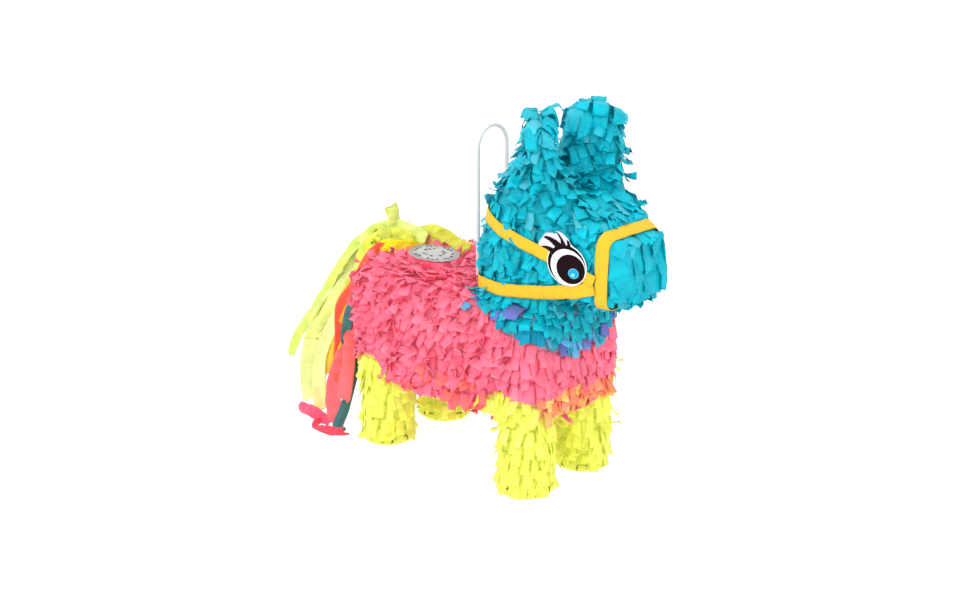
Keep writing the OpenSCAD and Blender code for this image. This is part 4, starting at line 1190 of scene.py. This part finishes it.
def spline(pts, n):
    """Smooth line through points."""
    P = np.asarray(pts, float)
    Q = np.concatenate([[2 * P[0] - P[1]], P, [2 * P[-1] - P[-2]]])
    out = []
    for i in range(1, len(Q) - 2):
        for t in np.linspace(0, 1, 14, endpoint=False):
            a, b, c, d = Q[i - 1], Q[i], Q[i + 1], Q[i + 2]
            out.append(0.5 * ((2 * b) + (c - a) * t + (2 * a - 5 * b + 4 * c - d) * t ** 2 + (3 * b - a - 3 * c + d) * t ** 3))
    out.append(P[-1])
    out = np.array(out)
    s = np.concatenate([[0], np.cumsum(np.linalg.norm(np.diff(out, axis=0), axis=1))])
    t = np.linspace(0, s[-1], n)
    return np.stack([np.interp(t, s, out[:, i]) for i in range(3)], 1), s[-1]


def streamer(name, pts, width, color, roll=(0, 20), face=(0.62, -0.72, 0.3), slot="pale_yellow_tissue", seed=1, body="tail", crumple=0.9, rests=("tail_tuft",), replaces=(), floor_z=0.35, bends=None):
    rng = np.random.default_rng(seed)
    n = 84
    P, length = spline(pts, n)
    T = unit(np.gradient(P, axis=0))
    N0 = np.array(face, float)
    q = np.linspace(0, 1, n)
    S0 = unit(np.cross(N0[None], T))
    O0 = np.cross(T, S0)
    a = np.radians(roll[0] + (roll[1] - roll[0]) * q + 12 * np.sin(q * rng.uniform(4, 8) + rng.uniform(0, 6)))[:, None]
    S = unit(S0 * np.cos(a) + O0 * np.sin(a))
    N = unit(np.cross(T, S))
    cols = 6
    u = np.linspace(-1, 1, cols + 1)
    wave = crumple * (np.sin(q[:, None] * rng.uniform(14, 20) + u[None] * rng.uniform(1, 2.4) + rng.uniform(0, 6)) * 0.6
                      + np.sin(q[:, None] * rng.uniform(26, 38) - u[None] * rng.uniform(1, 3) + rng.uniform(0, 6)) * 0.35) + rng.normal(0, 0.12, (n, cols + 1))
    along = q[:, None] * length
    for _ in range(int(length / 9)):
        pos, slope, wide = rng.uniform(0, length), rng.normal(0, 0.5) * width / 2, rng.uniform(3.5, 9)
        tent = np.maximum(0, 1 - np.abs(along - pos - slope * u[None]) / wide)
        wave = wave + crumple * rng.normal(0, 1.25) * tent * (0.6 + 0.4 * np.sin(u[None] * 2 + rng.uniform(0, 6)))
    wave = wave + np.abs(u)[None] * width * 0.16 * np.sin(q * rng.uniform(5, 9) + rng.uniform(0, 6))[:, None]
    wd = width * (1 + 0.06 * np.sin(q * rng.uniform(8, 14) + rng.uniform(0, 6)) - 0.35 * np.exp(-q * 14))
    ends = (rng.normal(0, 0.5, cols + 1), np.linspace(-1, 1, cols + 1) * rng.normal(0, 3) + rng.normal(0, 1.6, cols + 1))
    me = ribbon_mesh(name, P, S, N, wd, 0.3, cols=cols, wave=wave, tint=(np.asarray(color)[None] if np.ndim(color) == 1 else color[0][None] * (1 - q[:, None]) + color[1][None] * q[:, None]) * (0.94 + 0.1 * rng.uniform(0, 1, (n, 1))), ends=ends)
    co = np.zeros(len(me.vertices) * 3); me.vertices.foreach_get("co", co); co = co.reshape(-1, 3)
    half = len(co) // 2
    low = np.minimum(co[:half, 2], co[half:, 2])
    up = np.maximum(floor_z / 1000 - low, 0)
    co[:, 2] += np.concatenate([up, up])
    co[:, 1] = np.where(co[:, 1] < -0.086, -0.086 + (co[:, 1] + 0.086) * 0.2, co[:, 1])
    me.vertices.foreach_set("co", co.astype(np.float32).ravel()); me.update()
    o = new_object(name, me, MAT_STREAM, None if bends else body, replaces)
    if bends:
        W([bends[0], 0, 200.0])
        W([bends[1], 0, 200.0])
        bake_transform(o)
    return o


# the gathered root: short bright strips that radiate from it
tuft = Tabs(301, 3, 6, 0.3)
ball = lambda p: np.sqrt(((p - np.array([-136.0, 0, 197.0])) ** 2).sum(1)) - 4.5
rt = np.random.default_rng(302)
dirs = unit(np.stack([-np.abs(rt.normal(0.9, 0.5, 34)), rt.normal(0, 0.8, 34), rt.normal(0.1, 0.8, 34)], 1))
pal = np.array([BRIGHT, BRIGHT, GOLD, PALE, CORALS])[rt.integers(0, 5, 34)]
tuft.add(np.array([-136.0, 0, 197.0]) + dirs * 4.6, np.tile([-0.7, -0.3, -0.6], (34, 1)), ball, pal, L=17, w=8, lift=6, wild=0.5, yaw=50, curl=1.2)
me = tuft.mesh("tail_tuft")
new_object("tail_tuft", me, MAT_STREAM, "tail", ["tail_core"])

C0 = [-134, 0, 198]
streamer("streamer_pale_outer", [C0, [-145, -4, 211], [-158, -8, 203], [-172, -14, 191], [-186, -24, 170], [-204, -34, 136], [-213, -42, 117], [-227, -52, 91], [-234, -60, 64]], 13, LIME, (10, 50), seed=1, replaces=["tail_yellow"])
streamer("streamer_pale_outer_b", [[-133, 3, 199], [-148, -2, 205], [-166, -10, 189], [-184, -20, 163], [-198, -28, 138], [-209, -36, 112], [-216, -44, 90]], 11, PALE, (0, 10), seed=2)
streamer("streamer_pale_wide", [C0, [-147, -7, 188], [-161, -13, 166], [-184, -24, 141], [-206, -36, 109], [-212, -44, 84], [-209, -54, 51], [-199, -60, 18]], 22, PALE, (0, 8), seed=3)
streamer("streamer_pale_low", [[-133, -3, 196], [-150, -16, 168], [-172, -30, 132], [-188, -40, 98], [-197, -48, 64], [-193, -55, 30], [-188, -58, 8]], 15, lin("#F0F2A0"), (20, 0), seed=4)
streamer("streamer_golden", [C0, [-152, -14, 178], [-170, -24, 150], [-182, -33, 124], [-186, -39, 92], [-188, -44, 70], [-197, -49, 42], [-196, -52, 26]], 12, GOLD, (20, 60), slot="golden_tissue", seed=5, replaces=["tail_golden"])
streamer("streamer_golden_b", [[-134, -2, 196], [-150, -18, 166], [-160, -28, 140], [-170, -38, 108], [-178, -44, 76], [-184, -48, 50]], 11, lin("#FFB42A"), (-20, 20), slot="golden_tissue", seed=6)
streamer("streamer_coral_a", [[-133, -5, 199], [-141, -20, 187], [-148, -29, 167], [-156, -32, 150], [-171, -36, 127], [-171, -40, 100], [-168, -45, 72], [-164, -48, 48]], 16, CORALS, (0, -20), slot="coral_tissue", seed=7, replaces=["tail_coral"])
streamer("streamer_coral_b", [[-134, -8, 196], [-140, -30, 172], [-146, -43, 138], [-142, -55, 104], [-142, -59, 72], [-146, -63, 34]], 15, (REDO, SALMON), (10, 30), slot="coral_tissue", seed=8)
streamer("streamer_coral_c", [[-135, -2, 194], [-152, -26, 152], [-160, -36, 118], [-162, -44, 84], [-170, -50, 56], [-172, -54, 30]], 13, lin("#FF7A3C"), (-30, 10), slot="coral_tissue", seed=9)
streamer("streamer_salmon", [[-134, -3, 196], [-147, -24, 156], [-150, -40, 112], [-162, -49, 70], [-170, -53, 42], [-164, -60, 14], [-160, -62, 3]], 18, SALMON, (0, 10), slot="salmon_tissue", seed=10, replaces=["tail_pink"])
streamer("streamer_floor_rose", [[-216, -66, 10], [-202, -68, 9.5], [-188, -68, 8], [-176, -67, 6], [-166, -65, 3]], 13, ROSE, (-5, -35), crumple=0.6, slot="salmon_tissue", seed=11, rests=("streamer_salmon",))
streamer("streamer_floor_curl", [[-178, -68, 3], [-172, -78, 2], [-160, -83, 2], [-146, -82, 3], [-134, -76, 6]], 12, lin("#F2415F"), (-60, -35), slot="salmon_tissue", seed=12, rests=("streamer_salmon",))
streamer("streamer_teal_a", [[-134, -4, 193], [-136, -30, 166], [-139, -50, 142], [-142, -56, 124], [-147, -55, 108], [-156, -46, 92]], 12, TEALG, (10, 0), slot="teal_tissue", seed=13, replaces=["tail_teal"])
streamer("streamer_teal_b", [[-136, 1, 192], [-146, -12, 150], [-150, -26, 104], [-150, -42, 60], [-154, -54, 20], [-150, -68, 4], [-138, -74, 2.5]], 11, lin("#3F6F74"), (0, -20), slot="teal_tissue", seed=14)
streamer("streamer_golden_c", [[-134, -6, 193], [-146, -28, 158], [-152, -38, 128], [-156, -46, 100], [-168, -50, 66]], 10.5, GOLD, (40, -30), slot="golden_tissue", seed=15)
streamer("streamer_pale_mid", [[-133, 0, 199], [-152, -10, 184], [-170, -20, 156], [-190, -32, 128], [-204, -40, 106], [-213, -48, 84]], 15, lin("#E8F58C"), (30, -20), seed=16)
streamer("streamer_coral_d", [[-134, -9, 192], [-144, -34, 150], [-156, -44, 104], [-166, -50, 72], [-176, -52, 40]], 11, CORALS, (-20, 30), slot="coral_tissue", seed=17)
# streamers glued to the back, over the rump's top edge and beside the label
bk = dict(body="carcass", rests=("back_tissue",))
# back_streamer_long's dull yellow is the yellow tissue as it looks in half shadow on the far side of the back, so its
# colour is partly painted shade
streamer("back_streamer_long", [[-128, 16, 200], [-117, 27, 207], [-103, 32, 211], [-86, 34, 208], [-70, 34, 202], [-56, 34, 197.5]], 15, lin("#D6DA4E"), (-12, 6), seed=21, replaces=["back_streamers"], **bk)
streamer("back_streamer_edge", [[-127, 10, 198], [-112, 30, 201], [-94, 40, 200], [-76, 43, 199], [-60, 44, 197]], 12, lin("#E3E85C"), (-20, -10), seed=22, **bk)
streamer("back_streamer_tip", [[-124, 8, 199], [-131, 9, 211], [-135, 9, 222], [-142, 9, 236]], 14, lin("#E2F07A"), (0, 25), seed=23, bends=(-122.0, -158.0), **bk)
streamer("back_streamer_lime_a", [[-104, 24, 203], [-120, 18, 209], [-136, 8, 212], [-152, -4, 206], [-166, -13, 192]], 19, lin("#E4F284"), (-6, 14), seed=31, bends=(-119.0, -137.0), **bk)
streamer("back_streamer_lime_b", [[-112, 14, 203], [-128, 6, 208], [-144, -6, 204], [-158, -16, 186], [-166, -22, 168]], 14, lin("#DCEB55"), (-10, 24), seed=32, bends=(-119.0, -137.0), **bk)
streamer("back_streamer_bright_a", [[-106, 20, 194.5], [-115, 9, 196], [-126, -3, 197], [-138, -13, 191], [-148, -21, 176]], 13, BRIGHT, (-10, 20), seed=24, bends=(-119.0, -137.0), **bk)
streamer("back_streamer_bright_b", [[-110, 30, 195], [-121, 14, 198], [-132, -3, 198], [-143, -16, 188], [-152, -24, 168]], 13, lin("#FFF21E"), (-20, 10), seed=25, bends=(-119.0, -137.0), **bk)

# ------------------------------------------------------------------ carton and hidden parts keep their CAD shape
for nm, o in NODES.items():
    if "board" in nm or nm.startswith("leg_tube") or nm in ("fill_flap", "loop_anchor_card"):
        o.data.materials.clear(); o.data.materials.append(MAT_KRAFT)
    elif nm == "loop_knots":
        o.data.materials.clear(); o.data.materials.append(MAT_CORD)
    elif nm == "flap_pad":
        o.data.materials.clear(); o.data.materials.append(MAT_PINK_PLAIN)
    elif nm == "foot_discs":
        o.data.materials.clear(); o.data.materials.append(MAT_YEL_PLAIN)

# ------------------------------------------------------------------ floor
fm, nt, p = nodes_of("studio_floor")
p.inputs["Base Color"].default_value = (0.32, 0.32, 0.32, 1)
p.inputs["Roughness"].default_value = 0.8
p.inputs["Specular IOR Level"].default_value = 0.1
p.inputs["Emission Color"].default_value = (1, 1, 1, 1)
p.inputs["Emission Strength"].default_value = 0.86
bm = bmesh.new()
bmesh.ops.create_grid(bm, x_segments=1, y_segments=1, size=6.0)
me = bpy.data.meshes.new("floor"); bm.to_mesh(me); bm.free()
me.materials.append(fm)
floor = bpy.data.objects.new("floor", me)
COL.objects.link(floor)
floor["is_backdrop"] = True

lo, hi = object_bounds()
